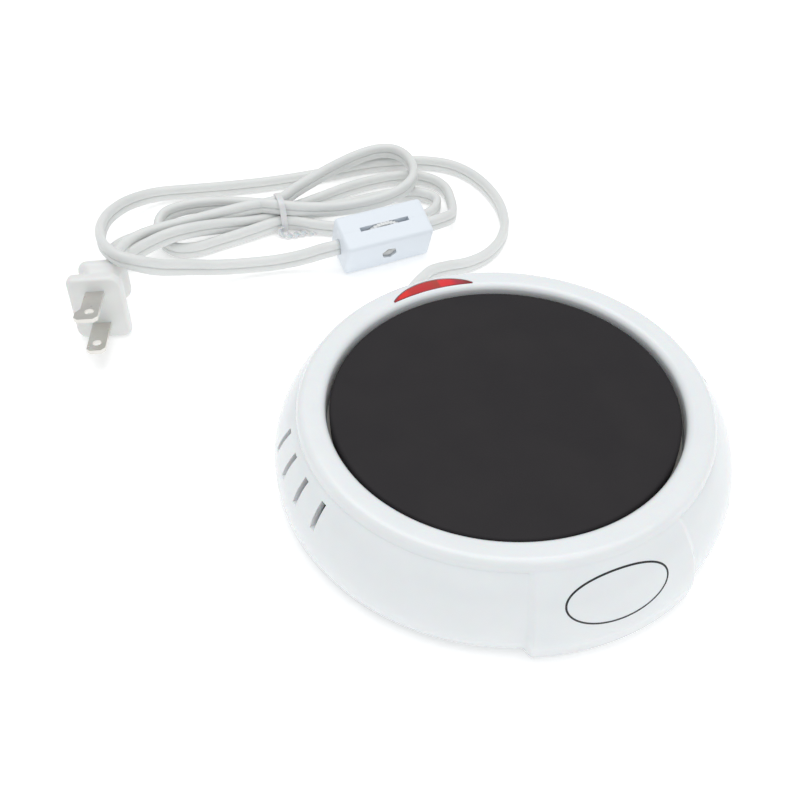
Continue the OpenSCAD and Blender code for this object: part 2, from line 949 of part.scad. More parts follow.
module switch_screw() {
    color("silver")
        at_switch()
            translate([switch_mid, 0, switch_c])
                rotate([-90, 0, 0]) {
                    translate([0, 0, 0.6])
                        cylinder(h = switch_w - 2, r = 1.2);
                    translate([0, 0, switch_w - 2 + slack])
                        cylinder(h = 1.5, r = 2.4);
                }
}

module switch_nut() {
    color("silver")
        at_switch()
            translate([switch_mid, 0.7, switch_c])
                rotate([-90, 0, 0])
                    difference() {
                        cylinder(h = 1.8, r = 2.85, $fn = 6);
                        translate([0, 0, -over])
                            cylinder(h = 5, r = 1.22);
                    }
}

function unit(v) = v / norm(v);

// Direction of a route at point i
function heading(p, i) = unit(
    (i > 0 ? unit(p[i] - p[i - 1]) : [0, 0, 0])
    + (i < len(p) - 1 ? unit(p[i + 1] - p[i]) : [0, 0, 0]));

// Section points placed around point i of a route: first value sideways, second upward
function ring(p, i, section) =
    let (
        f = heading(p, i),
        s = unit(cross(f, [0, 0, 1])),
        u = cross(s, f)
    )
    [for (c = section) p[i] + s * c[0] + u * c[1]];

// Solid of eight-sided section swept along a route
module sweep(p, section) {
    n = len(p);
    polyhedron(
        points = [for (i = [0:n - 1]) each ring(p, i, section)],
        faces = concat(
            [[for (k = [0:7]) k]],
            [for (i = [0:n - 2]) for (k = [0:7])
                [i * 8 + k, (i + 1) * 8 + k, (i + 1) * 8 + (k + 1) % 8]],
            [for (i = [0:n - 2]) for (k = [0:7])
                [i * 8 + k, (i + 1) * 8 + (k + 1) % 8, i * 8 + (k + 1) % 8]],
            [[for (k = [7:-1:0]) (n - 1) * 8 + k]]));
}

// Flat cord along a route, with its wide side upright
module cord(p) {
    a = cord_t / 2;
    b = cord_w / 2;
    sweep(p, [[-a, -b + a / 2], [-a / 2, -b], [a / 2, -b], [a, -b + a / 2],
        [a, b - a / 2], [a / 2, b], [-a / 2, b], [-a, b - a / 2]]);
}

function switch_point(x) = switch_pos + [x,
    switch_c * cos(switch_tilt) - switch_c * sin(switch_tilt),
    switch_c * sin(switch_tilt) + switch_c * cos(switch_tilt)];

plug_back = [-sin(plug_turn) * cos(plug_pitch), cos(plug_turn) * cos(plug_pitch), sin(plug_pitch)];
plug_rear = plug_pos + [0, 0, plug_mid_z] + (plug_l + 0.02) * plug_back;

// Cord from the housing to the switch
module cord_to_switch() {
    tip = exit_point(gland_tip + 0.02, 0);
    end = switch_point(-0.02);
    color("gainsboro")
        cord(concat([tip, exit_point(gland_tip + 3, -0.3)], route_to_switch, [end - [3, 0, 0], end]));
}

// Cord from the switch to the tied bundle
module cord_to_hank() {
    start = switch_point(switch_l + 0.02);
    color("gainsboro")
        cord(concat([start, start + [3, 0, 0]], route_to_hank, [hank_joint]));
}

// Loose loop that stands out of the bundle
module cord_top_loop() {
    color("gainsboro")
        cord(route_top_loop);
}

// Cord from the bundle to the plug
module cord_to_plug() {
    color("gainsboro")
        cord(concat([plug_rear, plug_rear + 3 * plug_back], route_to_plug, [hank_entry]));
}

module slot_outline(s) {
    a = s[0];
    b = s[1];
    side = [-(b - a)[1], (b - a)[0]] / norm(b - a) * s[2];
    union() {
        polygon([a + side, a - side, b - side, b + side]);
        translate(a)
            circle(r = s[2]);
        translate(b)
            circle(r = s[2]);
    }
}

// Outer shape of the tied bundle
module cord_hank() {
    color("gainsboro")
        translate([0, 0, hank_z])
            linear_extrude(height = hank_h)
                union() {
                    slot_outline(hank_left);
                    slot_outline(hank_waist);
                    slot_outline(hank_right);
                }
}

// Plastic-covered wire band with its ends twisted together
module twist_tie() {
    half_w = hank_waist[2] + 0.15;
    tail = 14;
    color("white")
        translate(tie_pos)
            rotate([0, 0, tie_turn]) {
                difference() {
                    translate([-1.5, -half_w - tie_t, 0])
                        cube([3, 2 * (half_w + tie_t), hank_z + hank_h + 0.1 + tie_t]);
                    translate([-2, -half_w, tie_t])
                        cube([4, 2 * half_w, hank_z + hank_h + 0.1 - tie_t]);
                }
                translate([0.4, -half_w - 1.5, 1.1])
                    rotate([0, 90, 0])
                        cylinder(h = tail, r = 1.05);
            }
}

// Puts a child in the plug's own frame: the blades point along -Y
module at_plug() {
    translate(plug_pos + [0, 0, plug_mid_z])
        rotate([plug_pitch, 0, plug_turn])
            translate([0, 0, -plug_mid_z])
                children();
}

// Block with rounded edges along Y, centred in X, from y0 over length l
module plug_block(y0, l, w, z0, h, r) {
    translate([-w / 2, y0 + l, z0])
        rotate([90, 0, 0])
            linear_extrude(height = l)
                union() {
                    translate([r, 0])
                        square([w - 2 * r, h]);
                    translate([0, r])
                        square([w, h - 2 * r]);
                    for (x = [r, w - r])
                        for (z = [r, h - r])
                            translate([x, z])
                                circle(r = r, $fn = 32);
                }
}

// Moulded plug: face block, waist and finger flange
module plug_body() {
    flange_h = 15.4;
    color("whitesmoke")
        at_plug()
            difference() {
                union() {
                    plug_block(0, plug_face_l, plug_w, 0, plug_h, 3.2);
                    plug_block(plug_face_l - 0.5, plug_neck_l + 1, 12.4, plug_mid_z - 6.4, 12.8, 3);
                    plug_block(plug_l - plug_flange_l, plug_flange_l, 17,
                        plug_mid_z - 6.6, flange_h, 3.4);
                }
                for (side = [-1, 1])
                    translate([-blade_w / 2 - slack, -over,
                        plug_mid_z + side * blade_gap / 2 - blade_t / 2 - slack])
                        cube([blade_w + 2 * slack, blade_root + over + slack, blade_t + 2 * slack]);
            }
}

// Flat blade with a hole near its chamfered tip; flare widens the tip
module blade(flare) {
    tip = 1.4;
    color("silver")
        difference() {
            translate([0, 0, -blade_t / 2])
                linear_extrude(height = blade_t)
                    polygon([[-blade_w / 2, blade_root], [-blade_w / 2, -blade_l * 0.62],
                        [-blade_w / 2 - flare, -blade_l * 0.74], [-blade_w / 2 - flare, -blade_l + tip],
                        [-blade_w / 2 + tip - flare, -blade_l], [blade_w / 2 - tip, -blade_l],
                        [blade_w / 2, -blade_l + tip], [blade_w / 2, blade_root]]);
            translate([0, -blade_l + 4.6, -over])
                cylinder(h = 2 * over + blade_t, r = blade_hole_r);
        }
}

module blade_neutral() {
    at_plug()
        translate([0, 0, plug_mid_z + blade_gap / 2])
            blade(blade_wide_w - blade_w);
}

module blade_live() {
    at_plug()
        translate([0, 0, plug_mid_z - blade_gap / 2])
            blade(0);
}

upper_housing();
base_cover();
hot_plate();
plate_seal();
indicator_lens();
neon_glass();
neon_electrodes();
lamp_holder();
lamp_resistor();
lamp_leads();
mica_top();
mica_bottom();
heater_ribbon();
insulation_pad();
heat_shield();
heater_terminals();
terminal_beads();
clamp_bar();
clamp_stud();
clamp_spacer();
clamp_washer();
clamp_nut();
thermal_fuse();
fuse_saddle();
fuse_leads();
splice_sleeves();
lead_live();
lead_neutral();
cord_tail();
cord_clamp();
cord_clamp_screws();
housing_screws();
rubber_feet();
strain_relief();
switch_front_half();
switch_rear_half();
thumb_wheel();
wheel_contact();
switch_contacts();
switch_through_lead();
switch_screw();
switch_nut();
cord_to_switch();
cord_to_hank();
cord_top_loop();
cord_hank();
cord_to_plug();
twist_tie();
plug_body();
blade_neutral();
blade_live();
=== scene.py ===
"""Looks of an electric warming plate: a round housing with a hot plate, a lamp window,
a flat cord with an inline wheel switch, a tied bundle of spare cord and a plug.

Lengths are in millimetres and angles in degrees, and mm() turns a length into metres.
The origin is the centre of the housing on the surface it stands on, -Y is the front."""
import json
import math

import bmesh
import bpy
from mathutils import Matrix, Quaternion, Vector


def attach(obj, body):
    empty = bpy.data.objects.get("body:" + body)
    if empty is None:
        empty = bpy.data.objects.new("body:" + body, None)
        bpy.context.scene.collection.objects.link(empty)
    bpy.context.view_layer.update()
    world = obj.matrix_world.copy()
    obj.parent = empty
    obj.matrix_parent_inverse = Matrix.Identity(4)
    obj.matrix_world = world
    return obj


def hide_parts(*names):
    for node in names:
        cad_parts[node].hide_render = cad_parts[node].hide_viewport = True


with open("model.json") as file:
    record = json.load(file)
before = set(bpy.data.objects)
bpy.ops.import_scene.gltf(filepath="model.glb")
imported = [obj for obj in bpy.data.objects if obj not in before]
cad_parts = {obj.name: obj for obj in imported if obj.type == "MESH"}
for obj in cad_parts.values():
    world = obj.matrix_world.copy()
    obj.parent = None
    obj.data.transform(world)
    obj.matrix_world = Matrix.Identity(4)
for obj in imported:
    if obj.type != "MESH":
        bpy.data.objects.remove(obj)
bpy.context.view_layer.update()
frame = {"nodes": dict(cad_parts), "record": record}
NODES = frame["nodes"]
ROOT = "warmer"


def mm(value):
    return value * 0.001


def deg(angle):
    return math.radians(angle)


# ------------------------------------------------------------------ camera

CAMERA_AT = (-107.2, -176.4, 226.5)
CAMERA_AIM = (0.2782, 0.6604, -0.6975)
CAMERA_LENS = 44.06
CAMERA_ROLL = 0.464        # degrees, clockwise


def add_camera():
    data = bpy.data.cameras.new("camera")
    data.lens = CAMERA_LENS
    data.sensor_width = 36
    data.clip_start = 0.01
    camera = bpy.data.objects.new("camera", data)
    camera.location = [mm(v) for v in CAMERA_AT]
    aim = Vector(CAMERA_AIM).to_track_quat("-Z", "Y")
    camera.rotation_euler = (aim @ Quaternion((0, 0, 1), -deg(CAMERA_ROLL))).to_euler()
    bpy.context.scene.collection.objects.link(camera)
    bpy.context.scene.camera = camera


add_camera()


# ------------------------------------------------------------------ mesh helpers

def new_object(name, bm, smooth=True, sharp=None, flat_faces=False):
    """Turns a bmesh in millimetres into an object in metres that rides on the housing.
    Edges that turn by more than sharp degrees stay crisp, and flat_faces keeps big flat faces
    flat in the light where they meet round edges."""
    bmesh.ops.recalc_face_normals(bm, faces=bm.faces)
    bmesh.ops.scale(bm, vec=(0.001, 0.001, 0.001), verts=bm.verts)
    for face in bm.faces:
        face.smooth = smooth
    if sharp is not None:
        for edge in bm.edges:
            if len(edge.link_faces) == 2:
                edge.smooth = edge.calc_face_angle(0) < deg(sharp)
    mesh = bpy.data.meshes.new(name)
    bm.to_mesh(mesh)
    bm.free()
    piece = bpy.data.objects.new(name, mesh)
    bpy.context.scene.collection.objects.link(piece)
    if flat_faces:
        modifier = piece.modifiers.new("flat faces", "WEIGHTED_NORMAL")
        modifier.keep_sharp = True
    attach(piece, ROOT)
    return piece


def loft(bm, rings):
    """Skins a list of closed rings of points and caps both ends; all rings have equal counts."""
    made = [[bm.verts.new(p) for p in ring] for ring in rings]
    count = len(rings[0])
    for a, b in zip(made, made[1:]):
        for k in range(count):
            n = (k + 1) % count
            bm.faces.new((a[k], a[n], b[n], b[k]))
    bm.faces.new(list(reversed(made[0])))
    bm.faces.new(made[-1])


CURVE_STEPS, SMOOTHING_PASSES = 24, 20


def smooth_path(points, step):
    """Evenly spaced points on a round curve near the given ones, and the curve's length."""
    pts = [Vector(p) for p in points]
    pts = [2 * pts[0] - pts[1]] + pts + [2 * pts[-1] - pts[-2]]
    dense = []
    for a, b, c, d in zip(pts, pts[1:], pts[2:], pts[3:]):
        t1 = math.sqrt((b - a).length)
        t2 = t1 + math.sqrt((c - b).length)
        t3 = t2 + math.sqrt((d - c).length)
        for i in range(CURVE_STEPS):
            t = t1 + (t2 - t1) * i / CURVE_STEPS
            ab = a.lerp(b, t / t1)
            bc = b.lerp(c, (t - t1) / (t2 - t1))
            cd = c.lerp(d, (t - t2) / (t3 - t2))
            abc = ab.lerp(bc, t / t2)
            bcd = bc.lerp(cd, (t - t1) / (t3 - t1))
            dense.append(abc.lerp(bcd, (t - t1) / (t2 - t1)))
    dense.append(pts[-2])
    for _ in range(SMOOTHING_PASSES):
        inner = [(a + 2 * b + c) / 4 for a, b, c in zip(dense, dense[1:], dense[2:])]
        dense = [dense[0]] + inner + [dense[-1]]
    lengths = [0.0]
    for a, b in zip(dense, dense[1:]):
        lengths.append(lengths[-1] + (b - a).length)
    count = max(2, round(lengths[-1] / step))
    path, j = [], 0
    for i in range(count + 1):
        want = lengths[-1] * i / count
        while j < len(lengths) - 2 and lengths[j + 1] < want:
            j += 1
        span = lengths[j + 1] - lengths[j] or 1
        path.append(dense[j].lerp(dense[j + 1], (want - lengths[j]) / span))
    return path, lengths[-1]


def sweep(bm, path, outline, twist=None):
    """Carries an outline of (sideways, upward) points along a path."""
    rings = []
    last = len(path) - 1
    for i, p in enumerate(path):
        ahead = (path[min(i + 1, last)] - path[max(i - 1, 0)]).normalized()
        side = ahead.cross(Vector((0, 0, 1))).normalized()
        up = side.cross(ahead)
        if twist:
            turn = Matrix.Rotation(twist(i / last), 3, ahead)
            side, up = turn @ side, turn @ up
        rings.append([p + side * x + up * y for x, y in outline])
    loft(bm, rings)


# ------------------------------------------------------------------ cords

CORD_W, CORD_T = 6.4, 3.4
CORD_STEP = 1.5
LOBE_R = CORD_T / 2
SIDE_X, GROOVE_X, GROOVE_HALF = LOBE_R - 0.06, 1.08, 0.34


def cord_outline():
    """Flat twin sheath: rounded edges and a narrow groove along the middle of each side."""
    half = CORD_W / 2
    quarter = [(GROOVE_X, 0), (SIDE_X - 0.12, GROOVE_HALF * 0.7), (SIDE_X, GROOVE_HALF),
               (SIDE_X + 0.05, half * 0.34)]
    quarter += [(LOBE_R * math.cos(deg(a)), half - LOBE_R + LOBE_R * math.sin(deg(a)))
                for a in range(0, 90, 18)]
    left = [(-x, y) for x, y in reversed(quarter[1:])]
    upper = quarter + [(0, half)] + left
    return upper + [(-x, -y) for x, y in upper]


GLAND_TIP = (2.51, 75.31, 9)
SWITCH_IN = (-9.5, 113.51, 10.375)
SWITCH_OUT = (25.5, 113.51, 10.375)
PLUG_REAR = (-94.17, 127.5, 11)

ROUTE_TO_SWITCH = [
    GLAND_TIP, (4.6, 78.3, 9), (8.2, 81.6, 8.8), (12.6, 84.9, 8.4), (17, 88.3, 7.4), (25, 91.5, 5),
    (33.2, 92.2, 3.6), (42, 94, 3.3), (50.5, 99, 3.3), (58.3, 108, 3.3), (63.6, 121, 3.3),
    (65.3, 135, 3.3), (63.6, 149, 3.3), (58.5, 159.4, 3.3), (49.5, 166.5, 3.3),
    (38, 171, 3.3), (25, 173.8, 3.3), (11, 174.8, 3.3), (-3, 175.8, 3.3),
    (-18, 177.8, 3.3), (-33, 181, 3.3), (-48, 184.4, 3.6), (-63.2, 186.1, 4.8),
    (-74.8, 180.9, 7.3), (-84, 169.6, 11), (-89.5, 154.8, 15.6), (-91.8, 140.2, 20),
    (-91.5, 128, 23.2), (-88, 120.2, 23.2), (-81.6, 118, 20.5), (-75, 119.8, 16),
    (-64.6, 122.7, 11), (-53.9, 123.3, 7.4), (-43, 122.8, 5.4), (-32, 120.8, 5),
    (-22, 117.6, 6.8), (-16.5, 115.2, 9), (-12.5, 113.55, 10.3), SWITCH_IN]

TO_BUNDLE = [
    SWITCH_OUT, (28.5, 113.6, 10.3), (34, 115.3, 9.4), (40, 119.5, 7), (44, 126, 4.8),
    (47, 134, 3.5), (48.8, 142, 3.4), (47.4, 150, 3.4), (42, 156.5, 3.4), (33, 160, 3.4),
    (22, 161, 3.4), (10, 160, 3.4), (-2, 157.5, 3.4), (-13, 155, 3.7)]
OUTER_FOLD_LEFT = [
    (-21, 153.9, 3.9), (-33, 157.4, 3.6), (-45, 160.2, 3.4), (-56, 161, 3.4),
    (-67, 160.6, 3.4), (-77, 160, 3.4), (-85, 157.5, 3.4), (-89.5, 152.5, 3.6),
    (-88.5, 147, 4.6), (-83, 145, 6.6), (-76, 144.8, 9.2), (-67, 145, 11.2), (-57, 146.2, 10.6),
    (-46, 148.3, 8), (-35, 149.8, 5.2)]
INNER_FOLD_RIGHT = [
    (-21, 150.2, 3.9), (-5, 150, 3.5), (10, 149, 3.4), (22, 148.7, 3.4), (32, 147, 3.4),
    (39, 143, 3.4), (41.8, 137, 3.4), (38, 131, 3.4), (30, 127.8, 3.4), (18, 127.6, 3.4),
    (5, 130.5, 3.4), (-9, 138.5, 3.5)]
LOW_FOLD_LEFT = [
    (-21, 146.5, 3.9), (-35, 145.6, 3.6), (-48, 144.4, 3.4), (-58, 143.6, 3.4),
    (-65, 146, 3.6), (-68.5, 151, 5), (-68.8, 156.5, 8.2), (-65, 161.5, 9.9),
    (-57, 163.6, 10), (-46, 161.6, 10.1), (-34, 156, 10.3)]
TOP_LOOP = [
    (-21, 148.1, 10.2), (-12.9, 145.2, 8.9), (-1.6, 142.2, 7.8), (9.2, 140.7, 7.6),
    (19.4, 140.4, 8), (27.1, 141.2, 9), (34, 145, 10), (38.4, 153, 10.2), (39.4, 163, 10.2),
    (36.5, 170, 10.2), (30, 172.8, 10.2), (21, 171.8, 10.2), (9.6, 168, 10.2), (-1.4, 163, 10.2),
    (-12.1, 157.4, 10.3)]
TO_PLUG = [
    (-21, 152.1, 10.3), (-33, 152.8, 10.2), (-45, 152.4, 10.3), (-57, 150.8, 11), (-67, 149.6, 11.6),
    (-76, 149, 11.2), (-83, 146.5, 10.6), (-88.5, 140.5, 10.4), (-92.3, 133.2, 10.8), PLUG_REAR]
ROUTE_TO_PLUG = (TO_BUNDLE + OUTER_FOLD_LEFT + INNER_FOLD_RIGHT + LOW_FOLD_LEFT
                 + TOP_LOOP + TO_PLUG)


def add_cord(name, route, nodes):
    """Sweeps a cord along a route; returns it with its centreline and length in metres."""
    path, length = smooth_path(route, CORD_STEP)
    bm = bmesh.new()
    sweep(bm, path, cord_outline())
    cord = new_object(name, bm)
    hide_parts(*nodes)
    return cord, [tuple(mm(v) for v in p) for p in path], mm(length)


cord_in, path_in, length_in = add_cord(
    "cord_housing_to_switch", ROUTE_TO_SWITCH, ["cord_to_switch"])
cord_out, path_out, length_out = add_cord(
    "cord_switch_to_plug", ROUTE_TO_PLUG,
    ["cord_to_hank", "cord_top_loop", "cord_hank", "cord_to_plug"])


# ------------------------------------------------------------------ housing shell

BASE_Z = 1.4
BULGE_Z = 9
BODY_R = 68.2
FOOT_R = 66.3
SHOULDER_R, SHOULDER_Z = 60.6, 26.5
RIM_R, RIM_Z = 57.8, 29.6
THROAT_R = 52
SHELF_Z, SHELF_R, SHELF_T = 18.4, 47.5, 2
TUBE_WALL = 2.2
WALL = 2.4
PAD_R = 70
APRON_HALF, APRON_FILLET = 22, 2
APRON_BEND_Z, APRON_RISE = 7, 11.5
BOSS_HALF, BOSS_FILLET, BOSS_Z = 9, 1.6, 15.8
LOW_SPAN, HIGH_SPAN = 49.5, 44.4


def arc(centre, radii, start, end, count):
    return [(centre[0] + radii[0] * math.cos(deg(start + (end - start) * i / count)),
             centre[1] + radii[1] * math.sin(deg(start + (end - start) * i / count)))
            for i in range(count + 1)]


def wall_side(inset, low=8, high=26):
    """Bulging side wall, set in by inset; low and high are the steps below and above."""
    low_z = (BULGE_Z - BASE_Z) / math.sin(deg(LOW_SPAN))
    low_x = (BODY_R - FOOT_R) / (1 - math.cos(deg(LOW_SPAN)))
    high_z = (SHOULDER_Z - BULGE_Z) / math.sin(deg(HIGH_SPAN))
    high_x = (BODY_R - SHOULDER_R) / (1 - math.cos(deg(HIGH_SPAN)))
    r = BODY_R - inset
    return (arc((r - low_x, BULGE_Z), (low_x, low_z), -LOW_SPAN, -1, low)
            + arc((r - high_x, BULGE_Z), (high_x, high_z), 1.2, HIGH_SPAN, high))


def bezier(a, b, c, t):
    s = 1 - t
    return a * s * s + b * 2 * s * t + c * t * t


APRON_CURVE = [(bezier(PAD_R, PAD_R, SHOULDER_R - 0.6, i / 40),
                bezier(APRON_BEND_Z, APRON_BEND_Z + APRON_RISE, RIM_Z - 2, i / 40))
               for i in range(41)]


def apron_r(z):
    """Radius of the apron at a height, or zero above it."""
    if z < APRON_BEND_Z:
        return PAD_R - 0.8 * (APRON_BEND_Z - z) / (APRON_BEND_Z - BASE_Z)
    for (r0, z0), (r1, z1) in zip(APRON_CURVE, APRON_CURVE[1:]):
        if z0 <= z <= z1:
            return r0 + (r1 - r0) * (z - z0) / (z1 - z0)
    return 0.0


def ramp(x):
    x = min(1.0, max(0.0, x))
    return x * x * (3 - 2 * x)


def outer_point(r, z, angle):
    """A point of the outer wall, pushed out where the apron and the cord boss are."""
    front = (angle + 90 + 180) % 360 - 180
    rear = (angle - 90 + 180) % 360 - 180
    apron = ramp((APRON_HALF - abs(front)) / APRON_FILLET)
    boss = ramp((BOSS_HALF - abs(rear)) / BOSS_FILLET) * ramp((BOSS_Z - z) / 1.0)
    r += max(0.0, apron_r(z) - r) * apron + max(0.0, PAD_R - 0.02 - r) * boss
    return (r * math.cos(deg(angle)), r * math.sin(deg(angle)), z)


COLUMNS, FILLET_STEPS, CLOSEST_COLUMNS = 288, 8, 0.12


def shell_columns():
    """Angles of the shell's columns, closer together where the apron and the boss begin."""
    angles = [i * 360 / COLUMNS for i in range(COLUMNS)]
    for middle, half, fillet in ((-90, APRON_HALF, APRON_FILLET), (90, BOSS_HALF, BOSS_FILLET)):
        for side in (-1, 1):
            angles += [middle + side * (half - fillet * k / FILLET_STEPS)
                       for k in range(FILLET_STEPS + 1)]
    angles = sorted(a % 360 for a in angles)
    return [a for a, b in zip(angles, angles[1:] + [400]) if b - a > CLOSEST_COLUMNS]


RIM_FLAT = [(RIM_R - 1.3, RIM_Z - 0.02), (RIM_R - 2.6, RIM_Z - 0.1)]
RIM_FILLET = arc((THROAT_R + 2.6, RIM_Z - 2.3), (2.6, 2.05), 90, 180, 10)


def shell_profile():
    """Outer side of the shell's section, and the rest of it, as (radius, height)."""
    outer = wall_side(0)
    shoulder = arc((RIM_R, SHOULDER_Z), (SHOULDER_R - RIM_R, RIM_Z - SHOULDER_Z), 8, 88, 10)
    inner = [(THROAT_R, SHELF_Z + SHELF_T), (SHELF_R, SHELF_Z + SHELF_T), (SHELF_R, SHELF_Z),
             (THROAT_R + TUBE_WALL, SHELF_Z), (THROAT_R + TUBE_WALL, RIM_Z - WALL - 0.4),
             (RIM_R - 1.2, RIM_Z - WALL - 0.4)]
    back = list(reversed(wall_side(WALL, 4, 10)[:-1]))
    return outer + shoulder, RIM_FLAT + RIM_FILLET + inner + back


def revolve(bm, columns, rows):
    """Closed ring of columns; rows(angle) gives the closed section at that angle."""
    rings = [[bm.verts.new(p) for p in rows(a)] for a in columns]
    count = len(rings[0])
    for a, b in zip(rings, rings[1:] + rings[:1]):
        for k in range(count):
            n = (k + 1) % count
            bm.faces.new((a[k], b[k], b[n], a[n]))


def cut(bm, cutters):
    """Cuts closed meshes out of another one; returns the result as a new bmesh."""
    bmesh.ops.recalc_face_normals(bm, faces=bm.faces)
    mesh = bpy.data.meshes.new("cut_target")
    bm.to_mesh(mesh)
    bm.free()
    target = bpy.data.objects.new("cut_target", mesh)
    bpy.context.scene.collection.objects.link(target)
    joined = bmesh.new()
    for cutter in cutters:
        bmesh.ops.recalc_face_normals(cutter, faces=cutter.faces)
        temp = bpy.data.meshes.new("cutter")
        cutter.to_mesh(temp)
        cutter.free()
        joined.from_mesh(temp)
        bpy.data.meshes.remove(temp)
    tool_mesh = bpy.data.meshes.new("cutter")
    joined.to_mesh(tool_mesh)
    joined.free()
    tool = bpy.data.objects.new("cutter", tool_mesh)
    bpy.context.scene.collection.objects.link(tool)
    boolean = target.modifiers.new("cut", "BOOLEAN")
    boolean.operation = "DIFFERENCE"
    boolean.solver = "EXACT"
    boolean.object = tool
    bpy.context.view_layer.update()
    result = bmesh.new()
    result.from_object(target, bpy.context.evaluated_depsgraph_get())
    for temp in (target, tool):
        data = temp.data
        bpy.data.objects.remove(temp)
        bpy.data.meshes.remove(data)
    bmesh.ops.remove_doubles(result, verts=result.verts, dist=0.0005)
    return result


def box_mesh(low, high, turn=0.0):
    """Closed box between two corners, turned about the Z axis."""
    bm = bmesh.new()
    bmesh.ops.create_cube(bm, size=1)
    size = [b - a for a, b in zip(low, high)]
    middle = [(a + b) / 2 for a, b in zip(low, high)]
    bmesh.ops.scale(bm, vec=size, verts=bm.verts)
    bmesh.ops.translate(bm, vec=middle, verts=bm.verts)
    bmesh.ops.rotate(bm, cent=(0, 0, 0), matrix=Matrix.Rotation(deg(turn), 3, "Z"), verts=bm.verts)
    return bm


def prism(outline, z0, z1):
    """Closed upright prism over a flat outline."""
    bm = bmesh.new()
    loft(bm, [[(x, y, z0) for x, y in outline], [(x, y, z1) for x, y in outline]])
    return bm


def rod(start, end, radius, sides):
    """Closed bar between two points with a regular section."""
    start, end = Vector(start), Vector(end)
    ahead = (end - start).normalized()
    side = ahead.orthogonal().normalized()
    up = ahead.cross(side)
    bm = bmesh.new()
    turns = [deg(360 * k / sides) for k in range(sides)]
    loft(bm, [[p + (side * math.cos(a) + up * math.sin(a)) * radius for a in turns]
              for p in (start, end)])
    return bm


VENT_ANGLES = [side * 90 + 90 - side * (1 + (i - 1.5) * 9) for side in (-1, 1) for i in range(4)]
VENT_W, VENT_LOW, VENT_HIGH = 2.0, 16.7, 24.7
EXIT = Vector((-2, 67.5, 9))
EXIT_WAY = Vector((0.5, math.sqrt(0.75), 0))
GLAND_R = 5

LENS_TIP_X, LENS_END_X = 14.5, 13.7     # where the edges would meet, where they are cut off
LENS_IN_R, LENS_MID_R = 53.8, 58.1
LENS_TIP_Y = math.sqrt(LENS_IN_R ** 2 - LENS_TIP_X ** 2)
LENS_ARC_Y = (LENS_MID_R ** 2 - LENS_IN_R ** 2) / (2 * (LENS_MID_R - LENS_TIP_Y))
LENS_ARC_R = LENS_MID_R - LENS_ARC_Y
LENS_TURN = -1.5
LENS_GAP = 0.14
LENS_LOW_Z, LENS_STEP_H, LENS_STEP_EVERY = 26.4, 0.9, 5     # faceted underside


def lens_edges(grow, count=40):
    """Inner and outer edge of the crescent, each from tip to tip."""
    half = math.degrees(math.asin((LENS_END_X + grow) / LENS_IN_R))
    wide = math.degrees(math.asin((LENS_END_X + grow) / LENS_ARC_R))
    inner = arc((0, 0), (LENS_IN_R - grow,) * 2, 90 + half, 90 - half, count)
    outer = arc((0, LENS_ARC_Y), (LENS_ARC_R + grow,) * 2, 90 + wide, 90 - wide, count)
    c, s = math.cos(deg(LENS_TURN)), math.sin(deg(LENS_TURN))
    return [[(x * c - y * s, x * s + y * c) for x, y in edge] for edge in (inner, outer)]


def make_shell():
    outer, rest = shell_profile()
    bm = bmesh.new()
    revolve(bm, shell_columns(), lambda a: [outer_point(r, z, a) for r, z in outer]
            + [(r * math.cos(deg(a)), r * math.sin(deg(a)), z) for r, z in rest])
    cutters = [box_mesh((56, -VENT_W / 2, VENT_LOW), (80, VENT_W / 2, VENT_HIGH), a)
               for a in VENT_ANGLES]
    inner, outer_edge = lens_edges(LENS_GAP)
    cutters.append(prism(inner + list(reversed(outer_edge)), RIM_Z - 4.6, RIM_Z + 4.4))
    cutters.append(rod(EXIT - 14 * EXIT_WAY, EXIT + 14 * EXIT_WAY, GLAND_R + 0.1, 48))
    shell = new_object("housing_shell", cut(bm, cutters), sharp=32,
                       flat_faces=True)
    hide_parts("upper_housing")
    return shell


shell = make_shell()


# ------------------------------------------------------------------ lens and badge

def rim_top(r):
    """Height of the flat rim at a radius."""
    shoulder = arc((RIM_R, SHOULDER_Z), (SHOULDER_R - RIM_R, RIM_Z - SHOULDER_Z), 8, 88, 10)
    points = list(reversed(shoulder + RIM_FLAT + RIM_FILLET))
    for (r0, z0), (r1, z1) in zip(points, points[1:]):
        if r0 <= r <= r1:
            return z0 + (z1 - z0) * (r - r0) / (r1 - r0)
    return RIM_Z - 0.5


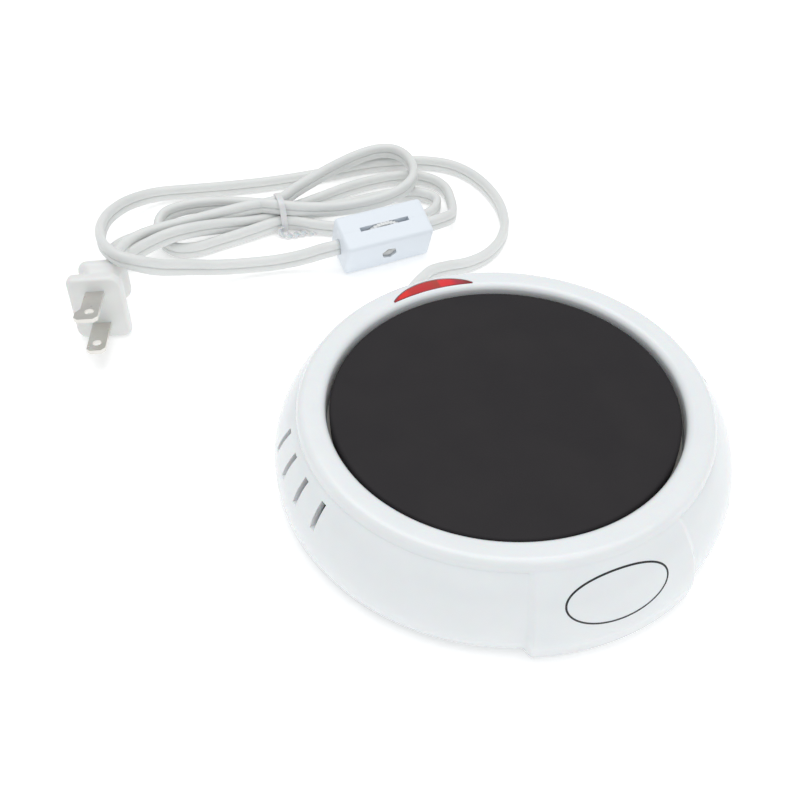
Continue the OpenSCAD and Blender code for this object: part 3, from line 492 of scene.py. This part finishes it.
def make_lens():
    """Crescent window: a flush top with a soft edge, faceted underneath."""
    inner, outer = lens_edges(0.0, 48)
    rows = []
    steps = (0, 0.06, 0.2, 0.4, 0.6, 0.8, 0.94, 1)
    for (xi, yi), (xo, yo) in zip(inner, outer):
        row = []
        for s in steps:
            x, y = xi + (xo - xi) * s, yi + (yo - yi) * s
            edge = min(s, 1 - s)
            row.append((x, y, rim_top(math.hypot(x, y)) - 0.06 - (0.22 if edge == 0 else 0.0)))
        rows.append(row)
    bm = bmesh.new()
    top = [[bm.verts.new(p) for p in row] for row in rows]
    steps_down = [LENS_LOW_Z + LENS_STEP_H * (i // LENS_STEP_EVERY % 2) for i in range(len(rows))]
    low = [[bm.verts.new((p[0], p[1], z)) for p in row] for row, z in zip(rows, steps_down)]
    for grid, flip in ((top, False), (low, True)):
        for a, b in zip(grid, grid[1:]):
            for k in range(len(steps) - 1):
                quad = (a[k], b[k], b[k + 1], a[k + 1])
                bm.faces.new(tuple(reversed(quad)) if flip else quad)
    rim_top_loop = ([row[0] for row in top] + top[-1][1:] + [row[-1] for row in reversed(top[:-1])]
                    + list(reversed(top[0][1:-1])))
    rim_low_loop = ([row[0] for row in low] + low[-1][1:] + [row[-1] for row in reversed(low[:-1])]
                    + list(reversed(low[0][1:-1])))
    count = len(rim_top_loop)
    for k in range(count):
        n = (k + 1) % count
        bm.faces.new((rim_top_loop[k], rim_top_loop[n], rim_low_loop[n], rim_low_loop[k]))
    lens = new_object("lens_window", bm, sharp=30)
    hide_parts("indicator_lens")
    return lens


BADGE_HALF_W, BADGE_HALF_H = 15.2, 7.35
BADGE_Z, BADGE_TURN = 18.5, -0.9
BADGE_LINE, BADGE_LIFT = 0.55, 0.05


def apron_track():
    """Length along the apron's slope at each height, from the bottom of the curve."""
    track, total = [], 0.0
    for (r0, z0), (r1, z1) in zip(APRON_CURVE, APRON_CURVE[1:]):
        track.append((total, r0, z0))
        total += math.hypot(r1 - r0, z1 - z0)
    return track + [(total,) + APRON_CURVE[-1]]


TRACK = apron_track()
BADGE_MIDDLE = next(s for s, r, z in TRACK if z >= BADGE_Z)


def on_apron(across, up, lift):
    """Point on the apron, across and up from the middle of the badge."""
    want = BADGE_MIDDLE + up
    for (s0, r0, z0), (s1, r1, z1) in zip(TRACK, TRACK[1:]):
        if s0 <= want <= s1 or (want < 0 and s0 == 0):
            t = (want - s0) / (s1 - s0)
            r, z = r0 + (r1 - r0) * t, z0 + (z1 - z0) * t
            slope = math.hypot(r1 - r0, z1 - z0)
            r += lift * (z1 - z0) / slope
            z += lift * (r0 - r1) / slope
            angle = deg(-90 + BADGE_TURN) + across / r
            return (r * math.cos(angle), r * math.sin(angle), z)
    raise ValueError("the badge runs off the apron")


def make_badge():
    """Plain printed oval outline on the apron."""
    bm = bmesh.new()
    count = 120
    rings = []
    for i in range(count):
        t = 2 * math.pi * i / count
        c, s = math.cos(t), math.sin(t)
        ring = []
        for grow, lift in ((0, 0), (0, BADGE_LIFT), (BADGE_LINE, BADGE_LIFT), (BADGE_LINE, 0)):
            ring.append(on_apron((BADGE_HALF_W - grow) * c, (BADGE_HALF_H - grow) * s, lift - 0.02))
        rings.append([bm.verts.new(p) for p in ring])
    for a, b in zip(rings, rings[1:] + rings[:1]):
        for k in range(4):
            n = (k + 1) % 4
            bm.faces.new((a[k], b[k], b[n], a[n]))
    return new_object("badge_oval", bm, smooth=False)


lens = make_lens()
badge = make_badge()


# ------------------------------------------------------------------ inline switch

SWITCH_L, SWITCH_W = 35, 16
SWITCH_C = SWITCH_W / 2
SWITCH_TILT = 21.5
SWITCH_PLACE = Matrix.Translation((-9.5, 109, 0)) @ Matrix.Rotation(deg(SWITCH_TILT), 4, "X")
SLOT_L, SLOT_W = 19.6, 1.8
SWITCH_CORNER = 1.5
NUT_POCKET_R, NUT_POCKET_DEPTH = 3.1, 2.6
SCREW_POCKET_R, SCREW_POCKET_DEPTH = 2.6, 2
PARTING = 0.012              # half of the gap between the halves


def rounded_box(low, high, radius):
    bm = box_mesh(low, high)
    bmesh.ops.bevel(bm, geom=list(bm.edges), offset=radius, segments=5, profile=0.5,
                    affect="EDGES", clamp_overlap=True)
    return bm


def make_switch_half(name, y0, y1, node):
    """Half of the rounded switch box, with its share of the slots and the wheel's space."""
    bm = rounded_box((0, 0, 0), (SWITCH_L, SWITCH_W, SWITCH_W), SWITCH_CORNER)
    for y, outward in ((y0, -1), (y1, 1)):
        if 0 < y < SWITCH_W:
            bmesh.ops.bisect_plane(
                bm, geom=list(bm.verts) + list(bm.edges) + list(bm.faces), plane_co=(0, y, 0),
                plane_no=(0, outward, 0), clear_outer=True)
            bmesh.ops.holes_fill(bm, edges=[e for e in bm.edges if e.is_boundary])
    middle = SWITCH_L / 2
    cutters = [box_mesh((middle - SLOT_L / 2, SWITCH_C - SLOT_W / 2, -1),
                        (middle + SLOT_L / 2, SWITCH_C + SLOT_W / 2, SWITCH_W + 1))]
    if y0 == 0:
        cutters.append(rod((middle, -1, SWITCH_C), (middle, NUT_POCKET_DEPTH, SWITCH_C),
                           NUT_POCKET_R, 6))
    else:
        cutters.append(rod((middle, SWITCH_W - SCREW_POCKET_DEPTH, SWITCH_C),
                           (middle, SWITCH_W + 1, SWITCH_C), SCREW_POCKET_R, 40))
    bm = cut(bm, cutters)
    bmesh.ops.transform(bm, matrix=SWITCH_PLACE, verts=bm.verts)
    half = new_object(name, bm, sharp=35, flat_faces=True)
    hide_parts(node)
    return half


switch_front = make_switch_half("switch_shell_front", 0, SWITCH_C - PARTING, "switch_front_half")
switch_rear = make_switch_half("switch_shell_rear", SWITCH_C + PARTING, SWITCH_W,
                               "switch_rear_half")


# ------------------------------------------------------------------ plug and gland

PLUG_MID_Z = 12.95
PLUG_PLACE = (Matrix.Translation((-100, 109, PLUG_MID_Z)) @ Matrix.Rotation(deg(-17.5), 4, "Z")
              @ Matrix.Rotation(deg(-5.75), 4, "X"))


CORNER_POINTS = 8


def rounded_section(y, half_w, half_h, radius, middle, uneven):
    """Upright rounded rectangle at depth y; middle is its height above the plug's axis and
    uneven scales the radius of its four corners, from the top right one round to the left."""
    ring = []
    corners = ((1, 1, 0), (-1, 1, 90), (-1, -1, 180), (1, -1, 270))
    for (cx, cz, start), share in zip(corners, uneven):
        r = radius * share
        for i in range(CORNER_POINTS):
            a = deg(start + 90 * i / (CORNER_POINTS - 1))
            ring.append((cx * (half_w - r) + r * math.cos(a), y,
                         middle + cz * (half_h - r) + r * math.sin(a)))
    return ring


# depth behind the face, half width, half height, corner radius, height of the middle
PLUG_SECTIONS = [
    (0, 8.2, 11.0, 2.6, 0), (0.12, 8.6, 11.4, 2.8, 0), (0.5, 9.0, 11.8, 3.0, 0),
    (1.2, 9.25, 12.05, 3.1, 0), (2.4, 9.3, 12.1, 3.2, 0), (3.9, 9.2, 12.0, 3.2, 0),
    (4.8, 8.8, 11.5, 3.2, 0), (5.5, 7.9, 10.4, 3.2, 0), (6.2, 6.9, 8.8, 3.2, 0),
    (7.3, 6.4, 7.4, 3.1, 0), (9.4, 6.15, 6.6, 3.0, 0), (12.6, 6.1, 6.4, 3.0, 0.1),
    (14.2, 6.3, 6.7, 3.1, 0.4), (15.1, 7.0, 7.1, 3.2, 0.8), (15.8, 7.9, 7.5, 3.3, 1.0),
    (16.3, 8.3, 7.65, 3.4, 1.1), (17.1, 8.5, 7.7, 3.4, 1.1), (18.2, 8.5, 7.7, 3.4, 1.1),
    (18.9, 8.2, 7.4, 3.3, 1.1), (19.35, 7.6, 6.8, 3.1, 1.1), (19.5, 6.8, 6.1, 2.8, 1.1)]
FACE_CORNERS, BODY_CORNERS = (1.35, 0.75, 1.15, 0.7), (1, 1, 1, 1)
FACE_DEPTH = 5.6


def make_plug():
    bm = bmesh.new()
    loft(bm, [rounded_section(*section, FACE_CORNERS if section[0] < FACE_DEPTH else BODY_CORNERS)
              for section in PLUG_SECTIONS])
    bmesh.ops.transform(bm, matrix=PLUG_PLACE, verts=bm.verts)
    plug = new_object("plug_moulding", bm, sharp=40, flat_faces=True)
    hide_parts("plug_body")
    return plug


plug = make_plug()


# along the cord and radius, up to the wall
GLAND_ROOT = [(-9.4, 6.0), (-8.0, 6.0), (-7.9, 5.0), (2.2, 5.0)]
GLAND_START, GLAND_LENGTH, GLAND_TAPER = 2.3, 6.6, 1.1
GLAND_RIBS, GLAND_GROOVE = 2, 0.28
GLAND_FLAT = 5.3             # how far the gland reaches below the cord's middle


def make_gland():
    """Tapered cord gland with rounded ribs, from the wall to the cord."""
    sides, rings, steps = 40, [], 60
    stations = list(GLAND_ROOT)
    for i in range(steps + 1):
        t = i / steps
        radius = GLAND_R - GLAND_TAPER * t
        groove = 0.0
        if 0.04 < t < 0.97:
            groove = GLAND_GROOVE * max(0.0, math.sin(2 * math.pi * GLAND_RIBS * t))
        stations.append((GLAND_START + GLAND_LENGTH * t, radius - groove))
    side = Vector((-EXIT_WAY.y, EXIT_WAY.x, 0))
    for t, r in stations:
        rings.append([EXIT + EXIT_WAY * t + side * r * math.cos(deg(360 * k / sides))
                      + Vector((0, 0, max(-GLAND_FLAT, r * math.sin(deg(360 * k / sides)))))
                      for k in range(sides)])
    bm = bmesh.new()
    loft(bm, rings)
    gland = new_object("cord_gland", bm, sharp=50)
    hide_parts("strain_relief")
    return gland


gland = make_gland()


# ------------------------------------------------------------------ twist tie

TIE_AT = Vector((-21, 150, 0))
TIE_TURN = -3.5
# across the bundle and up, round the five cords
TIE_LOOP = [(-5.75, 4), (-5.7, 7.6), (-4.9, 10.6), (-4.1, 12.9), (-2.4, 13.75), (0, 13.85),
            (2.4, 13.8), (4.1, 13.0), (5.0, 10.6), (5.7, 7.6), (5.8, 4), (5.6, 1.2), (4.2, 0.45),
            (0, 0.4), (-4.2, 0.45), (-5.6, 1.3)]


TIE_TAIL = [(-1, -5.6, 4), (-2.2, -6.7, 2.5), (-1.6, -8.2, 1.7), (0.6, -9.4, 1.5), (4.5, -9.6, 1.5),
            (8.6, -9.9, 1.5), (11.6, -11, 1.4)]
TAIL_OFFSET, TAIL_TWIST = 0.35, 1100


def ribbon_outline(width, thick, wire):
    """Flat strip with a round wire down its middle."""
    half, t = width / 2, thick / 2
    return [(half, -t), (half, t), (wire, t), (wire * 0.6, wire), (0, wire * 1.2),
            (-wire * 0.6, wire), (-wire, t), (-half, t), (-half, -t), (-wire, -t),
            (-wire * 0.6, -wire * 0.7), (wire * 0.6, -wire * 0.7), (wire, -t)]


def make_tie():
    turn = Matrix.Rotation(deg(TIE_TURN), 3, "Z")
    bm = bmesh.new()
    loop = [Vector((0, y, z)) for y, z in TIE_LOOP]
    closed, _ = smooth_path(loop[-3:] + loop + loop[:4], 0.7)
    start = min(range(8, 40), key=lambda i: (closed[i] - loop[0]).length)
    end = min(range(len(closed) - 40, len(closed) - 4), key=lambda i: (closed[i] - loop[0]).length)
    ring_path = closed[start:end]
    outline = ribbon_outline(2.4, 0.5, 0.42)
    rings = []
    count = len(ring_path)
    for i, p in enumerate(ring_path):
        ahead = (ring_path[(i + 1) % count] - ring_path[i - 1]).normalized()
        outward = ahead.cross(Vector((1, 0, 0))).normalized()
        rings.append([TIE_AT + turn @ (p + Vector((1, 0, 0)) * x + outward * y)
                      for x, y in outline])
    made = [[bm.verts.new(q) for q in ring] for ring in rings]
    for a, b in zip(made, made[1:] + made[:1]):
        for k in range(len(outline)):
            n = (k + 1) % len(outline)
            bm.faces.new((a[k], b[k], b[n], a[n]))
    path, _ = smooth_path(TIE_TAIL, 0.4)
    path = [TIE_AT + turn @ p for p in path]
    for phase in (0, 180):
        sweep(bm, path, [(x + TAIL_OFFSET, y) for x, y in ribbon_outline(1.9, 0.5, 0.4)],
              twist=lambda t, ph=phase: deg(ph + TAIL_TWIST * t))
    tie = new_object("tie_band", bm, sharp=50)
    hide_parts("twist_tie")
    return tie


tie = make_tie()


# ------------------------------------------------------------------ materials

def new_material(name, colour, roughness, metallic=0.0, **more):
    """Principled material with its tree and shader; more holds other inputs by name."""
    material = bpy.data.materials.new(name)
    material.use_nodes = True
    shader = material.node_tree.nodes["Principled BSDF"]
    shader.inputs["Base Color"].default_value = (*colour, 1)
    shader.inputs["Roughness"].default_value = roughness
    shader.inputs["Metallic"].default_value = metallic
    for key, value in more.items():
        shader.inputs[key.replace("_", " ")].default_value = value
    return material, material.node_tree, shader


def add_node(tree, kind, values=None, **settings):
    node = tree.nodes.new(kind)
    for key, value in settings.items():
        setattr(node, key, value)
    for key, value in (values or {}).items():
        node.inputs[key].default_value = value
    return node


def object_coords(tree):
    return add_node(tree, "ShaderNodeTexCoord").outputs["Object"]


def noise(tree, scale, detail, stretch=None):
    """Noise over the object's own coordinates; scale is in waves per metre."""
    coords = object_coords(tree)
    if stretch:
        mapping = add_node(tree, "ShaderNodeMapping")
        mapping.inputs["Scale"].default_value = stretch
        tree.links.new(coords, mapping.inputs["Vector"])
        coords = mapping.outputs["Vector"]
    node = add_node(tree, "ShaderNodeTexNoise", {"Scale": scale, "Detail": detail})
    tree.links.new(coords, node.inputs["Vector"])
    return node.outputs["Fac"]


def spread(tree, value, low, high, start=0.3, end=0.7):
    """Maps a value from start..end to low..high."""
    node = add_node(tree, "ShaderNodeMapRange",
                    {"From Min": start, "From Max": end, "To Min": low, "To Max": high})
    tree.links.new(value, node.inputs["Value"])
    return node.outputs["Result"]


def mix(tree, factor, low, high):
    """Colour between low and high; each may be a colour or an output socket."""
    node = add_node(tree, "ShaderNodeMix", data_type="RGBA")
    tree.links.new(factor, node.inputs["Factor"])
    for socket, colour in ((node.inputs[6], low), (node.inputs[7], high)):
        if isinstance(colour, tuple):
            socket.default_value = (*colour, 1)
        else:
            tree.links.new(colour, socket)
    return node.outputs[2]


def bump(tree, shader, height, distance):
    node = add_node(tree, "ShaderNodeBump", {"Distance": distance, "Strength": 1.0})
    tree.links.new(height, node.inputs["Height"])
    tree.links.new(node.outputs["Normal"], shader.inputs["Normal"])


def shade(colour, factor):
    return tuple(min(1.0, c * factor) for c in colour)


def worn(name, colour, roughness, metallic=0.0, scale=120, tint=0.04, rough_range=0.06,
         grain=0.0, grain_scale=2500, stretch=None, **more):
    """A finish whose colour and gloss drift a little, with an optional fine grain."""
    material, tree, shader = new_material(name, colour, roughness, metallic, **more)
    drift = noise(tree, scale, 3.0, stretch)
    tree.links.new(mix(tree, spread(tree, drift, 0, 1), shade(colour, 1 - tint),
                       shade(colour, 1 + tint * 0.5)), shader.inputs["Base Color"])
    tree.links.new(spread(tree, drift, max(0.02, roughness - rough_range),
                          min(1.0, roughness + rough_range)), shader.inputs["Roughness"])
    if grain:
        bump(tree, shader, noise(tree, grain_scale, 2.0, stretch), grain)
    return material


def radial(tree, centre=(0, 0)):
    """Distance from an upright axis."""
    coords = object_coords(tree)
    moved = add_node(tree, "ShaderNodeVectorMath", operation="SUBTRACT")
    moved.inputs[1].default_value = (mm(centre[0]), mm(centre[1]), 0)
    tree.links.new(coords, moved.inputs[0])
    flat = add_node(tree, "ShaderNodeVectorMath", operation="MULTIPLY")
    flat.inputs[1].default_value = (1, 1, 0)
    tree.links.new(moved.outputs["Vector"], flat.inputs[0])
    length = add_node(tree, "ShaderNodeVectorMath", operation="LENGTH")
    tree.links.new(flat.outputs["Vector"], length.inputs[0])
    return length.outputs["Value"]


WHITE_PLASTIC = (0.84, 0.865, 0.88)
housing = worn("white_plastic", WHITE_PLASTIC, 0.24, tint=0.015, rough_range=0.03,
               Coat_Weight=0.25, Coat_Roughness=0.12, Subsurface_Weight=0.15,
               Subsurface_Scale=0.002)


def make_plate_finish():
    """Dark baked coating with a fine orange-peel texture and a few dull patches."""
    material, tree, shader = new_material("baked_black", (0.022, 0.02, 0.022), 0.62)
    patch = noise(tree, 60, 4.0)
    fine = noise(tree, 1400, 3.0)
    tree.links.new(mix(tree, spread(tree, patch, 0, 1, 0.35, 0.65), (0.019, 0.0168, 0.019),
                       (0.0235, 0.021, 0.0228)), shader.inputs["Base Color"])
    tree.links.new(spread(tree, patch, 0.58, 0.66), shader.inputs["Roughness"])
    shader.inputs["Specular IOR Level"].default_value = 0.22
    bump(tree, shader, fine, 0.00004)
    return material


# painted glints and painted shade: bright and dark red bands across the lens from left to right,
# standing for the light off the reflector's facets
LENS_PAINTED_LIGHT_BANDS = ((0.05, (0.38, 0.012, 0.03)), (0.10, (0.50, 0.012, 0.02)), (0.14, (0.80, 0.014, 0.01)),
              (0.24, (0.78, 0.018, 0.012)), (0.30, (0.55, 0.02, 0.015)), (0.44, (0.56, 0.013, 0.02)),
              (0.55, (0.52, 0.02, 0.018)), (0.66, (0.42, 0.04, 0.022)), (0.685, (0.80, 0.02, 0.025)),
              (0.82, (0.74, 0.018, 0.025)), (0.88, (0.45, 0.02, 0.05)), (0.95, (0.36, 0.03, 0.04)))


def make_lens_finish():
    """Clear red plastic with painted light: bright bands are painted glints and dark bands are
    painted shade from the faceted reflector underneath, and a thin strip along the edges is painted
    shade.
    """
    material, tree, shader = new_material("red_lens", (0.6, 0.03, 0.02), 0.12,
                                          Coat_Weight=0.6, Coat_Roughness=0.05)
    across = add_node(tree, "ShaderNodeSeparateXYZ")
    tree.links.new(object_coords(tree), across.inputs[0])
    band = add_node(tree, "ShaderNodeValToRGB")
    place = spread(tree, across.outputs["X"], 0, 1, mm(-LENS_END_X), mm(LENS_END_X))
    tree.links.new(place, band.inputs["Fac"])
    ramp_colours = band.color_ramp
    ramp_colours.interpolation = "LINEAR"
    for element, colour in zip(ramp_colours.elements, ((0.2, 0.02, 0.02), (0.2, 0.02, 0.02))):
        element.color = (*colour, 1)
    for position, colour in LENS_PAINTED_LIGHT_BANDS:
        element = ramp_colours.elements.new(position)
        element.color = (*colour, 1)
    turn = deg(LENS_TURN)
    arc_centre = (-LENS_ARC_Y * math.sin(turn), LENS_ARC_Y * math.cos(turn))
    # painted shade: the red darkens within 0.6 mm of the window's inner and outer edges
    inner_edge_shade = spread(tree, radial(tree), 0, 1, mm(LENS_IN_R), mm(LENS_IN_R + 0.6))
    outer_edge_shade = spread(tree, radial(tree, arc_centre), 0, 1, mm(LENS_ARC_R), mm(LENS_ARC_R - 0.6))
    edge = add_node(tree, "ShaderNodeMath", operation="MULTIPLY")
    tree.links.new(inner_edge_shade, edge.inputs[0])
    tree.links.new(outer_edge_shade, edge.inputs[1])
    tree.links.new(mix(tree, edge.outputs[0], (0.27, 0.02, 0.025), band.outputs["Color"]),
                   shader.inputs["Base Color"])
    return material


def make_cord_finish():
    """Pale grey flexible sheath with faint lengthways drift."""
    return worn("cord_plastic", (0.775, 0.785, 0.775), 0.42, scale=60, tint=0.03,
                rough_range=0.04, Subsurface_Weight=0.05, Subsurface_Scale=0.001)


def make_brushed(name, colour, roughness, stretch):
    return worn(name, colour, roughness, 1.0, scale=900, tint=0.18, rough_range=0.1,
                grain=0.00001, stretch=stretch)


FINISHES = {
    "housing_plastic": housing,
    "plate_black": make_plate_finish(),
    "seal_fibre": worn("woven_seal", (0.62, 0.60, 0.55), 0.9, grain=0.0002, grain_scale=1800),
    "lens_red": make_lens_finish(),
    "lamp_glass": worn("lamp_glass", (0.9, 0.86, 0.82), 0.06, Transmission_Weight=0.7, tint=0.02,
                       rough_range=0.02),
    "plain_steel": make_brushed("plain_steel", (0.56, 0.56, 0.55), 0.34, (1, 1, 6)),
    "inner_plastic": worn("inner_plastic", (0.62, 0.63, 0.62), 0.5, grain=0.00003),
    "resistor_body": worn("resistor_body", (0.62, 0.52, 0.36), 0.45, tint=0.1),
    "wire_red": worn("red_insulation", (0.52, 0.03, 0.025), 0.4, tint=0.12),
    "mica": worn("mica", (0.52, 0.47, 0.38), 0.3, tint=0.25, scale=260, grain=0.00004),
    "ribbon_metal": make_brushed("heater_ribbon", (0.42, 0.40, 0.37), 0.38, (1, 8, 1)),
    "pad_fibre": worn("glass_fibre_pad", (0.78, 0.76, 0.70), 0.95, grain=0.0004,
                      grain_scale=1200, tint=0.12),
    "shield_metal": make_brushed("shield_metal", (0.66, 0.67, 0.68), 0.3, (8, 1, 1)),
    "bead_ceramic": worn("bead_ceramic", (0.82, 0.80, 0.74), 0.35, tint=0.06),
    "fuse_case": make_brushed("fuse_case", (0.60, 0.60, 0.58), 0.3, (1, 1, 5)),
    "wire_white": worn("white_insulation", (0.74, 0.74, 0.72), 0.42, tint=0.06),
    "wire_black": worn("black_insulation", (0.03, 0.03, 0.03), 0.4, tint=0.3),
    "sleeve_plastic": worn("clear_sleeve", (0.70, 0.71, 0.68), 0.3, tint=0.08),
    "cord_sheath": make_cord_finish(),
    "foot_rubber": worn("foot_rubber", (0.075, 0.075, 0.078), 0.75, grain=0.00005, tint=0.2),
    "gland_rubber": worn("gland_rubber", (0.70, 0.71, 0.70), 0.5, grain=0.00002, tint=0.05),
    "switch_plastic": worn("switch_plastic", (0.805, 0.855, 0.915), 0.36, scale=50, tint=0.01,
                           rough_range=0.02),
    "wheel_plastic": worn("wheel_plastic", (0.80, 0.81, 0.81), 0.4, tint=0.04, grain=0.00002),
    "contact_brass": make_brushed("contact_brass", (0.72, 0.52, 0.26), 0.3, (1, 6, 1)),
    "tie_plastic": worn("tie_plastic", (0.75, 0.76, 0.77), 0.3, tint=0.05,
                        Subsurface_Weight=0.2, Subsurface_Scale=0.001),
    "plug_plastic": worn("plug_plastic", (0.81, 0.82, 0.81), 0.36, scale=60, tint=0.02,
                         rough_range=0.03, Subsurface_Weight=0.2, Subsurface_Scale=0.003),
    "blade_metal": worn("blade_metal", (0.76, 0.74, 0.70), 0.3, 1.0, scale=200,
                        tint=0.05, rough_range=0.03),
}


def paint(thing, finish):
    """Gives every material slot of a piece the finish, keeping its shape as it is."""
    data = thing.data
    if not data.materials:
        data.materials.append(finish)
    for slot_of in thing.material_slots:
        slot_of.material = finish


for part in frame["record"]["subparts"]:
    if part["node"] in NODES:
        paint(NODES[part["node"]], FINISHES[part["material_slot"]])

for piece, finish in ((shell, "housing_plastic"), (lens, "lens_red"),
                      (switch_front, "switch_plastic"), (switch_rear, "switch_plastic"),
                      (plug, "plug_plastic"), (gland, "gland_rubber"), (tie, "tie_plastic"),
                      (cord_in, "cord_sheath"), (cord_out, "cord_sheath")):
    paint(piece, FINISHES[finish])

paint(badge, worn("badge_ink", (0.022, 0.022, 0.024), 0.45, tint=0.2))


# ------------------------------------------------------------------ floor and light

def add_floor():
    bm = bmesh.new()
    bmesh.ops.create_grid(bm, x_segments=1, y_segments=1, size=3)
    mesh = bpy.data.meshes.new("floor")
    bm.to_mesh(mesh)
    bm.free()
    floor = bpy.data.objects.new("floor", mesh)
    bpy.context.scene.collection.objects.link(floor)
    material, tree, shader = new_material("floor_paper", FLOOR_COLOUR, 0.9)
    shader.inputs["Specular IOR Level"].default_value = 0.1
    shader.inputs["Emission Color"].default_value = (1, 1, 1, 1)
    shader.inputs["Emission Strength"].default_value = FLOOR_GLOW
    mesh.materials.append(material)


def add_light(name, place, size, power):
    data = bpy.data.lights.new(name, "AREA")
    data.shape = "RECTANGLE"
    data.size, data.size_y = size
    data.energy = power
    light = bpy.data.objects.new(name, data)
    light.location = place
    way = Vector(LIGHT_AIM) - Vector(place)
    light.rotation_euler = way.to_track_quat("-Z", "Y").to_euler()
    bpy.context.scene.collection.objects.link(light)


FLOOR_COLOUR, FLOOR_GLOW = (0.9, 0.9, 0.9), 0.28
LIGHT_AIM = (0, 0.05, 0)
WORLD_COLOUR, WORLD_STRENGTH = (0.97, 0.99, 1), 0.575

add_floor()
add_light("key", (0.35, -0.55, 1.25), (1.2, 1.0), 3.9)
add_light("top", (-0.1, 0.3, 1.4), (1.2, 1.2), 7.4)

world = bpy.data.worlds.new("studio")
bpy.context.scene.world = world
world.use_nodes = True
backdrop = world.node_tree.nodes["Background"]
backdrop.inputs["Color"].default_value = (*WORLD_COLOUR, 1)
backdrop.inputs["Strength"].default_value = WORLD_STRENGTH

scene = bpy.context.scene
scene.view_settings.view_transform = "Standard"
scene.view_settings.look = "None"
